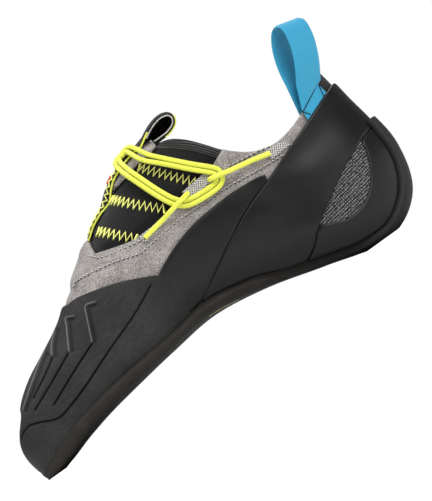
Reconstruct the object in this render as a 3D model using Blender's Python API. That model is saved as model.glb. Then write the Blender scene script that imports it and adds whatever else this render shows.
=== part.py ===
import bpy
import bmesh
import numpy as np
from mathutils.bvhtree import BVHTree

# Sizes in millimetres; the toe points to -X, the inner side of the foot is -Y, the floor is Z = 0
MM = 0.001
WALL = 1.8              # suede upper
STAY_STEP = 0.7         # extra thickness of the throat band
GAP = 0.4               # air between pieces that lie on one another
SEAM = 0.8              # air where rubber edges meet the sole
RUBBER = 1.5            # toe rubber, rand and tension band
SOLE = 4.1              # outsole
MESH = 0.8
TONGUE = 1.2
SADDLE = 1.8
STRAP = 1.7
STRAP_HALF = 9.5
SADDLE_END = 22.6
BOW_SKEW = 0.95
SADDLE_HALF = 14.5
CORD = 2.6
WEBBING = 1.3
WEBBING_WIDE = 17.2
HOLE = 0.2              # edge of the open underside, as a share of the way round a section
FLAT = 0.06             # edge of the flat spots under toe and heel, in the same terms
STAY_WIDE = 8.0
TUCK = 6.0              # tongue edge under the throat edge
GROUND = 1.0            # level at which the sole is worn flat under toe and heel
CENTRE = np.array((0.34, 0.99, -GROUND))    # from the last's axes to the middle of the floor

# The last, a row for each section from the nose of the toe to the collar
SECTION_COLUMNS = ("floor_x", "floor_z", "roof_x", "roof_z", "bow", "inner_y", "outer_y", "ridge_y",
                   "widest", "floor_power", "roof_power", "roll")
SECTIONS = (
    (-117.4, 4.6, -108.5, 37.0, 6.0, -15.0, -15.0, -15.0, 0.42, 2.6, 2.2, 0.0),
    (-113.6, 4.3, -104.0, 41.2, 5.5, -27.5, -1.0, -14.5, 0.42, 3.0, 2.2, 0.5),
    (-103.5, 7.3, -95.0, 47.2, 3.5, -36.0, 12.5, -13.5, 0.41, 3.8, 2.2, 2.0),
    (-90.0, 12.0, -82.5, 53.4, 1.5, -41.5, 23.5, -12.0, 0.40, 4.4, 2.2, 3.0),
    (-74.0, 16.0, -66.5, 62.5, 0.5, -45.0, 33.0, -10.0, 0.38, 4.6, 2.2, 3.2),
    (-55.0, 19.0, -49.5, 78.0, 0.0, -45.5, 40.5, -7.5, 0.36, 4.4, 2.1, 2.8),
    (-32.0, 22.0, -30.0, 89.8, 0.0, -42.0, 43.5, -5.0, 0.36, 4.0, 2.1, 2.5),
    (-4.0, 24.8, -13.0, 98.2, 0.5, -35.5, 41.5, -3.0, 0.38, 3.6, 2.2, 3.5),
    (27.0, 20.0, -0.5, 104.8, 2.0, -32.5, 38.0, -1.5, 0.40, 3.4, 2.2, 2.0),
    (58.0, 11.4, 8.0, 108.0, 4.5, -32.0, 35.0, -0.5, 0.40, 3.4, 2.2, 0.5),
    (89.0, 4.1, 14.0, 109.0, 8.0, -32.0, 33.0, 0.0, 0.40, 3.4, 2.2, 0.0),
    (109.8, 14.4, 18.0, 108.6, 12.0, -31.0, 31.5, 0.0, 0.42, 2.4, 2.2, 0.0),
    (117.2, 37.0, 21.0, 107.8, 16.5, -30.0, 30.5, 0.0, 0.45, 2.2, 2.2, 0.0),
    (114.6, 61.0, 23.2, 107.0, 20.5, -29.0, 29.5, 0.0, 0.48, 2.1, 2.2, 0.0),
    (110.0, 87.5, 25.0, 106.0, 24.3, -28.0, 28.5, 0.0, 0.50, 2.1, 2.2, 0.0),
)
LAST = len(SECTIONS) - 1

# Seam lines as they show from the inner side, columns x and z
SOLE_LINE = ((-117.5, 5.0), (-105.6, 10.9), (-84.0, 17.6), (-59.0, 21.8), (-25.0, 25.0), (-5.0, 27.6),
             (19.0, 24.3), (40.0, 16.6), (60.0, 10.5), (75.0, 6.8), (89.0, 6.0), (97.0, 8.2),
             (104.0, 12.8), (110.0, 19.4), (114.2, 28.0), (116.0, 37.4), (115.6, 50.0))
THROAT_LINE = ((-34.0, 79.0), (-21.0, 74.8), (-10.0, 72.8), (4.0, 74.2), (18.7, 75.9), (34.0, 78.7),
               (47.0, 83.8))
TOE_LINE = ((-12.5, 26.5), (-9.0, 36.0), (-8.4, 45.0), (-14.1, 51.7), (-31.5, 60.3), (-50.9, 66.4),
            (-59.5, 67.0))
RAND_LINE = ((-13.4, 52.0), (-0.8, 57.9), (15.3, 62.4), (36.1, 63.9), (51.9, 62.9), (60.9, 60.5))
BAND_FRONT = ((-4.6, 28.0), (13.8, 39.1), (38.7, 52.2), (60.4, 59.9), (87.4, 69.8), (107.8, 77.7))
BAND_REAR = ((49.6, 14.0), (56.5, 18.0), (65.2, 25.4), (87.9, 39.0), (106.8, 47.6), (115.0, 49.8))
WINDOW = ((56.5, 17.4), (64.2, 24.1), (69.0, 22.9), (76.1, 19.9), (83.6, 19.5), (91.3, 21.9), (97.8, 26.9),
          (102.5, 33.4), (105.9, 40.8), (107.5, 46.7), (112.0, 48.5))

# Cords: the ring's side route (x, z, lift off the last), its turn over the strap (x, y, lift),
# and the two hooks that hold it
RING_SIDE = ((2.4, 104.0, 5.5), (5.2, 95.7, 4.6), (9.0, 85.4, 3.3), (13.0, 77.2, 3.0), (17.2, 73.0, 3.0),
             (22.0, 71.6, 3.0), (27.0, 71.1, 3.0), (31.5, 70.9, 3.0), (35.6, 71.3, 3.0), (38.4, 73.2, 3.0),
             (39.0, 76.4, 2.9), (36.6, 79.7, 2.9), (30.3, 86.1, 3.5), (20.7, 96.5, 4.9), (14.1, 104.0, 5.6))
RING_TURN = ((9.8, -10.2, 5.5), (5.6, -8.4, 5.5), (1.6, -9.8, 5.5))
HOOK_FRONT = ((-9.0, 70.6, 2.5), (-2.0, 71.8, 2.6), (4.0, 72.8, 3.6), (8.0, 73.6, 5.6), (11.6, 74.3, 6.5),
              (15.2, 75.0, 6.6), (18.2, 75.6, 6.4), (20.1, 76.0, 5.3), (21.0, 76.2, 3.6))
HOOK_REAR = ((66.0, 68.6, 2.5), (57.0, 70.8, 2.6), (50.0, 72.2, 3.6), (45.6, 73.0, 5.4), (42.0, 73.8, 6.4),
             (38.4, 74.6, 6.6), (36.0, 75.1, 6.4), (34.5, 75.4, 5.3), (33.8, 75.5, 3.6))

# Strap tab past the ridge (x, z of the middle of the webbing) and the pull loop (half gap, height)
TAB_PATH = ((19.0, 113.1), (23.8, 115.5), (28.5, 117.0), (32.8, 117.3), (36.3, 115.9), (37.4, 113.0),
            (35.6, 109.9), (31.0, 107.9), (26.8, 107.5), (24.4, 107.4))
LOOP_PATH = ((3.4, 8.0), (6.2, 18.3), (6.8, 27.6), (5.4, 34.8), (3.0, 38.7), (0.0, 39.9))
LOOP_AT = (97.6, 77.0)
LOOP_UP = (0.354, 0.0, 0.934)
LOOP_SLANT = 0.12

for item in list(bpy.data.objects):
    bpy.data.objects.remove(item, do_unlink=True)


def section_knots():
    rows = np.array(SECTIONS, float)
    inner = SECTION_COLUMNS.index("inner_y")
    outer = SECTION_COLUMNS.index("outer_y")
    before = rows[1].copy()
    before[[inner, outer]] = rows[1][[outer, inner]]
    return np.vstack([before, rows, 2 * rows[-1] - rows[-2]])


KNOTS = section_knots()


def cubic(a, b, c, d, t):
    bend = (2 * a - 5 * b + 4 * c - d) * t ** 2 + (3 * b - a - 3 * c + d) * t ** 3
    return 0.5 * (2 * b + (c - a) * t + bend)


def section_at(s):
    s = np.clip(np.asarray(s, float), 0, LAST)
    i = np.minimum(s.astype(int), LAST - 1)
    row = cubic(KNOTS[i], KNOTS[i + 1], KNOTS[i + 2], KNOTS[i + 3], (s - i)[..., None])
    return np.moveaxis(row, -1, 0)


# A point of the last: s counts sections from the nose, p runs -1 to 1 round a section from ridge
# to ridge with 0 under the foot and -0.5 at the widest place of the inner side
def skin(s, p):
    s, p = np.broadcast_arrays(np.asarray(s, float), np.asarray(p, float))
    (floor_x, floor_z, roof_x, roof_z, bow, inner_y, outer_y, ridge_y,
     widest, floor_power, roof_power, roll) = section_at(s)
    p = (p + 1) % 2 - 1
    share = np.abs(p)
    low = share <= 0.5
    angle = np.pi * np.where(low, share, 1 - share)
    power = 2 / np.where(low, floor_power, roof_power)
    fall = np.abs(np.cos(angle)) ** power
    reach = np.abs(np.sin(angle)) ** power
    rise = np.where(low, widest * (1 - fall), 1 - (1 - widest) * (1 - fall))
    middle = (inner_y + outer_y) / 2
    axis = middle + (ridge_y - middle) * rise * rise * (3 - 2 * rise)
    axis_wide = middle + (ridge_y - middle) * widest * widest * (3 - 2 * widest)
    y = axis + reach * np.where(p < 0, inner_y - axis_wide, outer_y - axis_wide)
    run_x = roof_x - floor_x
    run_z = roof_z - floor_z
    length = np.hypot(run_x, run_z)
    drop = rise + BOW_SKEW * rise ** 3 * (1 - rise)
    bend = bow * 4 * drop * (1 - drop)
    shear = -(y - middle) * np.tan(np.radians(roll)) * (1 - rise) ** 2
    x = floor_x + run_x * rise - run_z / length * bend + run_x / length * shear
    z = floor_z + run_z * rise + run_x / length * bend + run_z / length * shear
    return np.stack([x, y, z], -1)


def outward(s, p):
    step = 1e-3
    s, p = np.broadcast_arrays(np.asarray(s, float), np.asarray(p, float))
    inside = np.clip(s, 2 * step, LAST)

    def facing(way):
        along = skin(np.minimum(inside + step, LAST), way) - skin(inside - step, way)
        around = skin(inside, way + step) - skin(inside, way - step)
        normal = np.cross(around, along)
        return normal / np.linalg.norm(normal, axis=-1, keepdims=True)

    normal = np.where((s < step)[..., None], facing(p) + facing(-p), facing(p))
    return normal / np.linalg.norm(normal, axis=-1, keepdims=True)


def lifted(s, p, lift):
    return skin(s, p) + outward(s, p) * np.asarray(lift, float)[..., None]


def creep(s, p, distance):
    step = 1e-3
    speed = np.linalg.norm(skin(s, p + step) - skin(s, p - step), axis=-1) / (2 * step)
    return p + distance / speed


# The place on the inner side that shows at a point of the side view (axes 0, 2) or plan (axes 0, 1)
def locate(point, lift, axes=(0, 2), near=(0.02, 0.985)):
    s = np.linspace(0.03, LAST, 113)[:, None]
    p = -np.linspace(near[0], near[1], 60)[None, :]
    field = lifted(s, p, np.array(lift))[..., axes]
    i, j = np.unravel_index(np.argmin(((field - point) ** 2).sum(-1)), field.shape[:2])
    here = np.array([s[i, 0], p[0, j]])
    for turn in range(12):
        base = lifted(here[0], here[1], np.array(lift))[list(axes)]
        along = (lifted(here[0] - 1e-3, here[1], np.array(lift))[list(axes)] - base) / -1e-3
        around = (lifted(here[0], here[1] + 1e-4, np.array(lift))[list(axes)] - base) / 1e-4
        move = np.linalg.lstsq(np.stack([along, around], -1), np.array(point) - base, rcond=1e-3)[0]
        here = here + np.clip(move, (-0.2, -0.02), (0.2, 0.02))
        here = np.clip(here, (0.01, -near[1]), (LAST, -near[0]))
    return here


def smooth_line(points, count):
    points = np.array(points, float)
    padded = np.vstack([2 * points[0] - points[1], points, 2 * points[-1] - points[-2]])
    length = np.concatenate([[0], np.cumsum(np.linalg.norm(np.diff(points[:, :2], axis=0), axis=1))])
    want = np.linspace(0, length[-1], count)
    i = np.clip(np.searchsorted(length, want, side="right") - 1, 0, len(points) - 2)
    t = ((want - length[i]) / (length[i + 1] - length[i]))[:, None]
    return cubic(padded[i], padded[i + 1], padded[i + 2], padded[i + 3], t)


def shifted(points, distance):
    points = np.array(points, float)
    way = np.gradient(points, axis=0)
    way = way / np.linalg.norm(way, axis=1, keepdims=True)
    return points + np.stack([-way[:, 1], way[:, 0]], 1) * distance


def side_line(points, count, shift=0.0):
    return shifted(smooth_line(points, count), shift)


def trace(points, count, lift, shift=0.0):
    return np.array([locate(point, lift) for point in side_line(points, count, shift)])


def half_way(s, half):
    share = np.linspace(0.55, 1, 91)
    out = []
    for one in np.atleast_1d(s):
        spread = np.abs(skin(one, -share)[:, 1] - section_at(one)[7])
        out.append(np.interp(half, spread[::-1], share[::-1]))
    return np.array(out)


def material(name, colour, roughness):
    made = bpy.data.materials.new(name)
    made.use_nodes = True
    shader = made.node_tree.nodes["Principled BSDF"]
    shader.inputs["Base Color"].default_value = (*colour, 1)
    shader.inputs["Roughness"].default_value = roughness
    shader.inputs["Metallic"].default_value = 0.0
    return made


def add_mesh(name, points, faces, look):
    mesh = bpy.data.meshes.new(name)
    mesh.from_pydata([tuple(point) for point in (np.asarray(points) + CENTRE) * MM], [], faces)
    work = bmesh.new()
    work.from_mesh(mesh)
    bmesh.ops.recalc_face_normals(work, faces=work.faces)
    if work.calc_volume(signed=True) < 0:
        bmesh.ops.reverse_faces(work, faces=work.faces)
    work.to_mesh(mesh)
    work.free()
    mesh.materials.append(look)
    mesh.polygons.foreach_set("use_smooth", [True] * len(mesh.polygons))
    made = bpy.data.objects.new(name, mesh)
    bpy.context.scene.collection.objects.link(made)
    return made


# A closed solid between two faces that share one grid; cells out of the mask stay open
def grid_solid(name, top, bottom, look, mask=None):
    rows, columns = top.shape[:2]
    if mask is None:
        mask = np.ones((rows - 1, columns - 1), bool)
    ids = {}
    number = np.zeros((rows, columns), int)
    kept = []
    for i in range(rows):
        for j in range(columns):
            key = tuple(np.round(top[i, j], 4) + 0.0)
            if key not in ids:
                ids[key] = len(kept)
                kept.append((i, j))
            number[i, j] = ids[key]
    total = len(kept)
    faces = []
    for i, j in np.argwhere(mask):
        a, b, c, d = number[i, j], number[i, j + 1], number[i + 1, j + 1], number[i + 1, j]
        faces += [face for face in ((a, b, c), (a, c, d)) if len(set(face)) == 3]
    edges = {}
    for face in faces:
        for k in range(3):
            edges[(face[k], face[(k + 1) % 3])] = True
    walls = []
    for a, b in edges:
        if (b, a) not in edges:
            walls += [(b, a, a + total), (b, a + total, b + total)]
    inside = [(c + total, b + total, a + total) for a, b, c in faces]
    points = [top[i, j] for i, j in kept] + [bottom[i, j] for i, j in kept]
    used = sorted({k for face in faces + inside + walls for k in face})
    order = {k: n for n, k in enumerate(used)}
    shape = [tuple(int(order[k]) for k in face) for face in faces + inside + walls]
    return add_mesh(name, [points[k] for k in used], shape, look)


def patch(name, s, p, low, high, look, mask=None):
    low = np.broadcast_to(np.asarray(low, float), s.shape)
    high = np.broadcast_to(np.asarray(high, float), s.shape)
    return grid_solid(name, lifted(s, p, high), lifted(s, p, low), look, mask)


SPOTS = ((1, 0, 0), (0.5, 0.5, 0), (0, 0.5, 0.5), (0.5, 0, 0.5), (0.34, 0.33, 0.33), (0.7, 0.15, 0.15),
         (0.15, 0.7, 0.15), (0.15, 0.15, 0.7))


# The lift that keeps each facet of a grid clear of the facets of the solid that carries it
def seated(s, p, lift, carrier, way, clear=0.3):
    lift = np.array(np.broadcast_to(lift, s.shape), float)
    facing = outward(s, p)
    corners = [((i, j), (i + 1, j + 1), (i + far, j + 1 - far))
               for i in range(s.shape[0] - 1) for j in range(s.shape[1] - 1) for far in (0, 1)]
    for turn in range(6):
        points = skin(s, p) + facing * lift[..., None]
        short = np.zeros(s.shape)
        for corner in corners:
            for spot in SPOTS:
                point = sum(points[at] * part for at, part in zip(corner, spot))
                place, normal, face, reach = carrier.find_nearest(point)
                lack = clear - (point - np.array(place)) @ np.array(normal)
                for at, part in zip(corner, spot):
                    if part and lack > short[at]:
                        short[at] = lack
        lift = lift + way * short
    return lift


def tree_of(made):
    points = [np.array(vertex.co) / MM - CENTRE for vertex in made.data.vertices]
    return BVHTree.FromPolygons(points, [tuple(face.vertices) for face in made.data.polygons])


# Fills four edge lines of the same direction with a grid of places
def fill(left, right, floor, roof):
    v = np.linspace(0, 1, len(left))[:, None, None]
    u = np.linspace(0, 1, len(floor))[None, :, None]
    across = (1 - u) * left[:, None] + u * right[:, None]
    up = (1 - v) * floor[None] + v * roof[None]
    first = (1 - u) * left[0] + u * right[0]
    last = (1 - u) * left[-1] + u * right[-1]
    return across + up - (1 - v) * first - v * last


def between(a, b, count):
    return a + (b - a) * np.linspace(0, 1, count)[:, None]


suede = material("grey suede, brushed", (0.33, 0.31, 0.30), 0.9)
board = material("insole board, pressed fibre", (0.20, 0.19, 0.18), 0.9)
sole_rubber = material("sole rubber, moulded", (0.035, 0.033, 0.031), 0.6)
rand_rubber = material("rand rubber, moulded", (0.028, 0.028, 0.027), 0.5)
mesh_cloth = material("mesh cloth, woven", (0.08, 0.08, 0.08), 0.8)
elastic = material("black elastic, knitted", (0.02, 0.02, 0.02), 0.85)
strap_web = material("strap webbing, woven", (0.03, 0.03, 0.03), 0.8)
cord_yarn = material("yellow cord, braided", (0.80, 0.82, 0.12), 0.7)
blue_web = material("blue webbing, woven", (0.05, 0.37, 0.58), 0.75)

# Seam lines in terms of the last
top_lift = GAP + RUBBER
sole_places = trace(SOLE_LINE, 60, top_lift)
sole_places = sole_places[np.argsort(sole_places[:, 0])]
throat_places = trace(THROAT_LINE, 24, 0.0)
throat_s = throat_places[0, 0]
strip_s = np.interp(51.0, skin(np.linspace(11, LAST, 40), 0.0)[:, 2], np.linspace(11, LAST, 40))
strip_top_s = np.interp(54.0, skin(np.linspace(11, LAST, 40), 0.0)[:, 2], np.linspace(11, LAST, 40))


def sole_edge(s):
    return np.interp(s, sole_places[:, 0], -sole_places[:, 1])


def throat_edge(s):
    return np.interp(s, throat_places[:, 0], -throat_places[:, 1])


def flat_edge(s):
    return FLAT * (1 + 1.2 * np.clip(1 - s, 0, 1))


def rib_line(share):
    return 12.7 - 2.5 * share


# Upper: one shell, rows along the foot and columns round it
hole_from, hole_to = 1.5, 10.16
steps = np.concatenate([np.arange(0, 2, 1 / 3), np.arange(2, 9, 1 / 2), np.arange(9, 13, 1 / 3),
                        [13, 13.35, 13.7, LAST]])
steps = steps[(np.abs(steps - throat_s) > 0.2) & (np.abs(steps - 9.67) > 0.1)]
rows = np.concatenate([steps, [throat_s, throat_s - 0.45, 9.78, hole_from, hole_to]])
rows = np.unique(rows.round(6))
edge = sole_edge(rows)
throat = throat_edge(rows)
stay = -creep(rows, -throat, STAY_WIDE)
stay_foot = -creep(rows, -stay, STAY_STEP)
half = np.concatenate([
    np.stack([0 * rows, flat_edge(rows), HOLE + 0 * rows], 1)
    * np.minimum(1, edge / (HOLE + 0.05))[:, None],
    between((HOLE * np.minimum(1, edge / (HOLE + 0.05)))[None], edge[None], 3)[1:].T,
    between(edge[None], stay_foot[None], 6)[1:].T,
    stay[:, None],
    between(throat[None], np.ones((1, len(rows))), 5).T], 1)
upper_p = np.concatenate([-half[:, :0:-1], half], 1)
upper_s = np.repeat(rows[:, None], upper_p.shape[1], 1)
count = half.shape[1]
column = np.abs(np.arange(upper_p.shape[1]) - (count - 1))
cell = np.minimum(column[:-1], column[1:])
row_mid = (rows[:-1] + rows[1:]) / 2
mask = np.ones((len(rows) - 1, len(cell)), bool)
mask[np.ix_((row_mid > hole_from) & (row_mid < hole_to), cell < 2)] = False
mask[np.ix_(row_mid > throat_s, cell >= count - 5)] = False
band_row = (rows >= throat_s - 0.5)[:, None]
band_column = (column >= count - 6)[None, :]
raised = np.where(band_row & band_column, STAY_STEP, 0.0)
thin = np.clip(1 - upper_s, 0, 1) * np.clip(1 - np.abs(upper_p) / 0.3, 0, 1)
upper = patch("upper", upper_s, upper_p, -WALL * (1 - 0.85 * thin), raised, suede, mask)
shell = tree_of(upper)

# Insole board in the open underside
board_rows = rows[(rows > hole_from - 0.01) & (rows < hole_to + 0.01)].copy()
board_rows[0] += 0.12
board_rows[-1] -= 0.04
board_share = np.minimum(1, sole_edge(board_rows) / (HOLE + 0.05))
board_rim = -creep(board_rows, -HOLE * board_share, GAP)
board_half = np.stack([0 * board_rows, board_rim], 1)
board_p = np.concatenate([-board_half[:, :0:-1], board_half], 1)
patch("insole", np.repeat(board_rows[:, None], 3, 1), board_p, -WALL, 0.0, board)

# Outsole: toe to heel, then up the back of the heel over the tension band
sole_rows = rows[rows < strip_s - 0.25]
sole_rows = np.concatenate([sole_rows, [strip_s - 0.2, strip_s - 0.12, strip_top_s]])
rim = sole_edge(sole_rows)
sole_half = np.concatenate([
    np.stack([0 * rim, flat_edge(sole_rows), HOLE + 0 * rim], 1)
    * np.minimum(1, rim / (HOLE + 0.05))[:, None],
    between((HOLE * np.minimum(1, rim / (HOLE + 0.05)))[None], rim[None], 3)[1:].T], 1)
sole_p = np.concatenate([-sole_half[:, :0:-1], sole_half], 1)
sole_s = np.repeat(sole_rows[:, None], sole_p.shape[1], 1)
sole_low = np.where(sole_s > strip_s - 0.15, top_lift + GAP, GAP)
sole_top = lifted(sole_s, sole_p, GAP + SOLE + 0 * sole_s)
sole_top[..., 2] = np.maximum(sole_top[..., 2], GROUND)
grid_solid("outsole", sole_top, lifted(sole_s, sole_p, sole_low), sole_rubber)

# Toe rubber: from the sole edge over the ridge of the toe
toe_places = trace(TOE_LINE, 40, top_lift, 0.3)
toe_rest = np.interp(-64.6, section_at(np.linspace(3, 5, 60))[2], np.linspace(3, 5, 60))
toe_rim = -creep(toe_places[:, 0], -sole_edge(toe_places[:, 0]), -SEAM)
toe_share = np.concatenate([(-toe_places[:, 1] - toe_rim) / (1 - toe_rim), [1.0]])
toe_end = np.concatenate([toe_places[:, 0], [toe_rest]])
share = np.concatenate([np.linspace(0, 0.6, 8), [0.74, 0.87, 1.0]])
reach = np.interp(share, np.maximum.accumulate(toe_share), toe_end)
run = np.concatenate([np.linspace(0, 0.3, 5), np.linspace(0.3, 1, 9)[1:]])
toe_s = run[:, None] * reach[None, :]
toe_from = -creep(toe_s, -sole_edge(toe_s), -SEAM)
toe_p = toe_from + share[None, :] * (1 - toe_from)
both_s = np.concatenate([toe_s, toe_s[:, -2::-1]], 1)
both_p = np.concatenate([-toe_p, toe_p[:, -2::-1]], 1)
patch("toe_rubber", both_s, both_p, seated(both_s, both_p, GAP, shell, 1), top_lift, rand_rubber)


def both_sides(name, places, low, high, look):
    for side, sign in (("_inner", 1), ("_outer", -1)):
        s, p = places[..., 0], sign * places[..., 1]
        patch(name + side, s, p, seated(s, p, low, shell, 1), high, look)


def along_sole(start, end, count):
    s = np.linspace(start, end, count)
    return np.stack([s, creep(s, -sole_edge(s), -SEAM)], 1)


# Rand between the toe rubber and the tension band
rand_left = side_line(TOE_LINE[:4], 5, -0.3)
rand_roof = side_line(RAND_LINE[:-1] + ((57.5, 61.6),), 10)
rand_floor = side_line(((-10.0, 28.6), (-4.6, 29.4)) + BAND_FRONT[1:3] + ((57.0, 58.7),), 10, 0.3)
rand_left[0], rand_left[-1] = rand_floor[0], rand_roof[0]
rand_grid = fill(rand_left, between(rand_floor[-1], rand_roof[-1], 5), rand_floor, rand_roof)
rand_places = np.array([[locate(point, top_lift) for point in row] for row in rand_grid])
both_sides("rand", rand_places, GAP, top_lift, rand_rubber)

# Tension band: up from the sole under the arch and round the back of the heel
back = np.linspace(11, LAST, 60)
back_z = lifted(back, 0 * back, top_lift + 0 * back)[:, 2]
front_edge = trace(BAND_FRONT, 16, top_lift, -0.3)
rear_edge = trace(BAND_REAR, 16, top_lift, 0.3)
front_end = np.array([np.interp(79.4, back_z, back), 0.0])
rear_end = np.array([np.interp(50.6, back_z, back), 0.0])
front_edge = np.concatenate([front_edge, between(front_edge[-1], front_end, 5)[1:]])
rear_edge = np.concatenate([rear_edge, between(rear_edge[-1], rear_end, 5)[1:]])
band_floor = along_sole(front_edge[0, 0], rear_edge[0, 0], 5)
front_edge[0], rear_edge[0] = band_floor[0], band_floor[-1]
band_places = fill(front_edge, rear_edge, band_floor, between(front_end, rear_end, 5))
band_s = np.concatenate([band_places[..., 0], band_places[-2::-1, :, 0]])
band_p = np.concatenate([band_places[..., 1], -band_places[-2::-1, :, 1]])
patch("tension_band", band_s, band_p, seated(band_s, band_p, GAP, shell, 1), top_lift, rand_rubber)

# Heel rand round the window, and the mesh in the window
heel_roof = trace(((53.0, 14.8),) + WINDOW, 18, top_lift, -0.4)
heel_from = locate((53.4, 12.8), top_lift)[0]
heel_to = locate((115.4, 47.6), top_lift)[0]
heel_floor = along_sole(heel_from, heel_to, 18)
heel_places = fill(between(heel_floor[0], heel_roof[0], 3), between(heel_floor[-1], heel_roof[-1], 3),
                   heel_floor, heel_roof)
both_sides("heel_rand", heel_places, GAP, top_lift, rand_rubber)
mesh_floor = trace(WINDOW[2:10], 24, top_lift, 0.6)[:-2]
mesh_roof = trace(((68.0, 27.2),) + BAND_REAR[3:5], 24, top_lift, -0.6)[:-2]
mesh_places = fill(between(mesh_floor[0], mesh_roof[0], 4), between(mesh_floor[-1], mesh_roof[-1], 4),
                   mesh_floor, mesh_roof)
both_sides("heel_mesh", mesh_places[:, ::3], GAP, GAP + MESH, mesh_cloth)


# Tongue and the ribbed band at its top, both tucked under the throat edge
def ease(t):
    t = np.clip(t, 0, 1)
    return t * t * (3 - 2 * t)


def stride(s, p):
    return np.linalg.norm(skin(s, p) - skin(s - 1e-3, p), axis=-1) / 1e-3


def tongue_places(start, end, count):
    s = start + (end - start) * np.linspace(0, 1, count)[:, None]
    tuck = -creep(s, -throat_edge(s), TUCK)
    p = tuck + tongue_share * (1 - tuck)
    inset = (p - throat_edge(s)) / (creep(s, p, 1.0) - p)
    front = (s - throat_s) * stride(np.maximum(s, 0.1), p)
    top = -WALL - GAP + 1.3 * ease((inset - 1.5) / 5.5) * ease((front - 1.5) / 5.5)
    s = np.concatenate([s, s[:, -2::-1]], 1)
    top = np.concatenate([top, top[:, -2::-1]], 1)
    return s, np.concatenate([-p, p[:, -2::-1]], 1), top


tongue_share = np.array([0.0, 0.1, 0.2, 0.32, 0.46, 0.6, 0.74, 0.87, 1.0])[None, :]
rib_from = rib_line(np.clip((tongue_share - 0.15) / 0.85, 0, 1))
tongue_s, tongue_p, tongue_top = tongue_places(throat_s - 0.35 + 0 * rib_from, rib_from, 12)
tongue_top = seated(tongue_s, tongue_p, tongue_top, shell, -1, 0.5)
patch("tongue", tongue_s, tongue_p, tongue_top - TONGUE, tongue_top, elastic)
rib_gap = GAP / stride(rib_from, -np.maximum(tongue_share, 0.75))
rib_s, rib_p, rib_top = tongue_places(rib_from + rib_gap, LAST + 0 * rib_from, 4)

# Its top edge is drawn straight from the corner of the throat to the ridge, as seen from the side
corner = skin(LAST, -throat_edge(LAST))
ridge = skin(LAST, -1.0)
upright = np.array([ridge[2] - corner[2], 0.0, corner[0] - ridge[0]])
upright = upright / np.linalg.norm(upright)
upward = np.clip((np.abs(rib_p[-1]) - throat_edge(LAST)) / (1 - throat_edge(LAST)), 0, 1)
sag = np.maximum((corner - skin(LAST, rib_p[-1])) @ upright, 0) * (upward > 0) + 3.2 * upward * (1 - upward)
drawn = (np.linspace(0, 1, 4)[:, None] ** 3 * sag)[..., None] * upright
rib_outer = lifted(rib_s, rib_p, rib_top + 0.3) + drawn
rib_inner = lifted(rib_s, rib_p, rib_top - TONGUE) + drawn
grid_solid("collar_elastic", rib_outer, rib_inner, elastic)

# Suede saddle under the strap
roof_x = section_at(np.linspace(5, LAST, 200))[2]


def ridge_s(x):
    return np.interp(x, roof_x, np.linspace(5, LAST, 200))


def ridge_strip(s, half, columns):
    reach = np.linspace(-1, 1, columns)
    p = np.stack([np.where(side < 0, -1, 1) * half_way(s, abs(side) * half) for side in reach], 1)
    return np.repeat(s[:, None], columns, 1), p


saddle_low = -WALL - GAP + 1.3 + 0.3 + GAP
saddle_rows = ridge_s(np.linspace(-9.0, SADDLE_END, 9))
taper = np.array([0.62, 0.86, 0.97, 1.0, 1.0, 1.0, 0.97, 0.86, 0.6])
reach = np.linspace(-1, 1, 9)
saddle_p = np.stack([[np.sign(side + 1e-9) * half_way(row, abs(side) * SADDLE_HALF * wide)[0]
                      for side in reach] for row, wide in zip(saddle_rows, taper)])
saddle_s = np.repeat(saddle_rows[:, None], 9, 1)
patch("strap_saddle", saddle_s, saddle_p, saddle_low, saddle_low + SADDLE, suede)


# Webbing: a sheet of even thickness about its middle face
def ribbon(name, middle, thick, look):
    along = np.gradient(middle, axis=0)
    across = np.gradient(middle, axis=1)
    normal = np.cross(along, across)
    normal = normal / np.linalg.norm(normal, axis=-1, keepdims=True)
    return grid_solid(name, middle + normal * thick / 2, middle - normal * thick / 2, look)


strap_rows = ridge_s(np.concatenate([[-33.2, -30.0], np.linspace(-26, -9, 5), np.linspace(-4, 14.5, 5)]))
strap_s, strap_p = ridge_strip(strap_rows, STRAP_HALF, 5)
on_saddle = ease((section_at(strap_rows)[2] + 21.0) / 12.0)
at_front = 1 - ease((section_at(strap_rows)[2] + 33.2) / 8.0)
strap_lift = saddle_low - 0.3 + STRAP / 2 + on_saddle * (SADDLE + 0.3 + GAP) - at_front
strap_low = lifted(strap_s, strap_p, np.repeat(strap_lift[:, None], 5, 1))
crown = strap_low[-1, :, 2] - strap_low[-1, 2, 2]
tab_line = smooth_line(TAB_PATH, 14)
tab = np.stack([np.stack([np.full(5, x), strap_low[-1, :, 1], z + crown * fade], 1)
                for (x, z), fade in zip(tab_line, np.linspace(0.7, 0, 14))])
ribbon("strap", np.concatenate([strap_low, tab])[:, ::-1], STRAP, strap_web)


# Cords
def cord(name, points, closed):
    data = bpy.data.curves.new(name, "CURVE")
    data.dimensions = "3D"
    data.bevel_depth = CORD / 2 * MM
    data.bevel_resolution = 2
    data.use_fill_caps = True
    spline = data.splines.new("POLY")
    spline.points.add(len(points) - 1)
    for place, point in zip(spline.points, points):
        place.co = (*((np.asarray(point) + CENTRE) * MM), 1)
    spline.use_cyclic_u = closed
    data.materials.append(cord_yarn)
    made = bpy.data.objects.new(name, data)
    bpy.context.scene.collection.objects.link(made)
    return made


def rounded_ring(values, count):
    padded = np.vstack([values[-1], values, values[0], values[1]])
    dense = np.concatenate([cubic(*padded[k:k + 4], np.linspace(0, 1, 30, endpoint=False)[:, None])
                            for k in range(len(values))])
    length = np.concatenate([[0], np.cumsum(np.linalg.norm(np.diff(dense[:, :3], axis=0), axis=1))])
    want = np.linspace(0, length[-1], count, endpoint=False)
    return np.stack([np.interp(want, length, dense[:, k]) for k in range(dense.shape[1])], 1)


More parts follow.
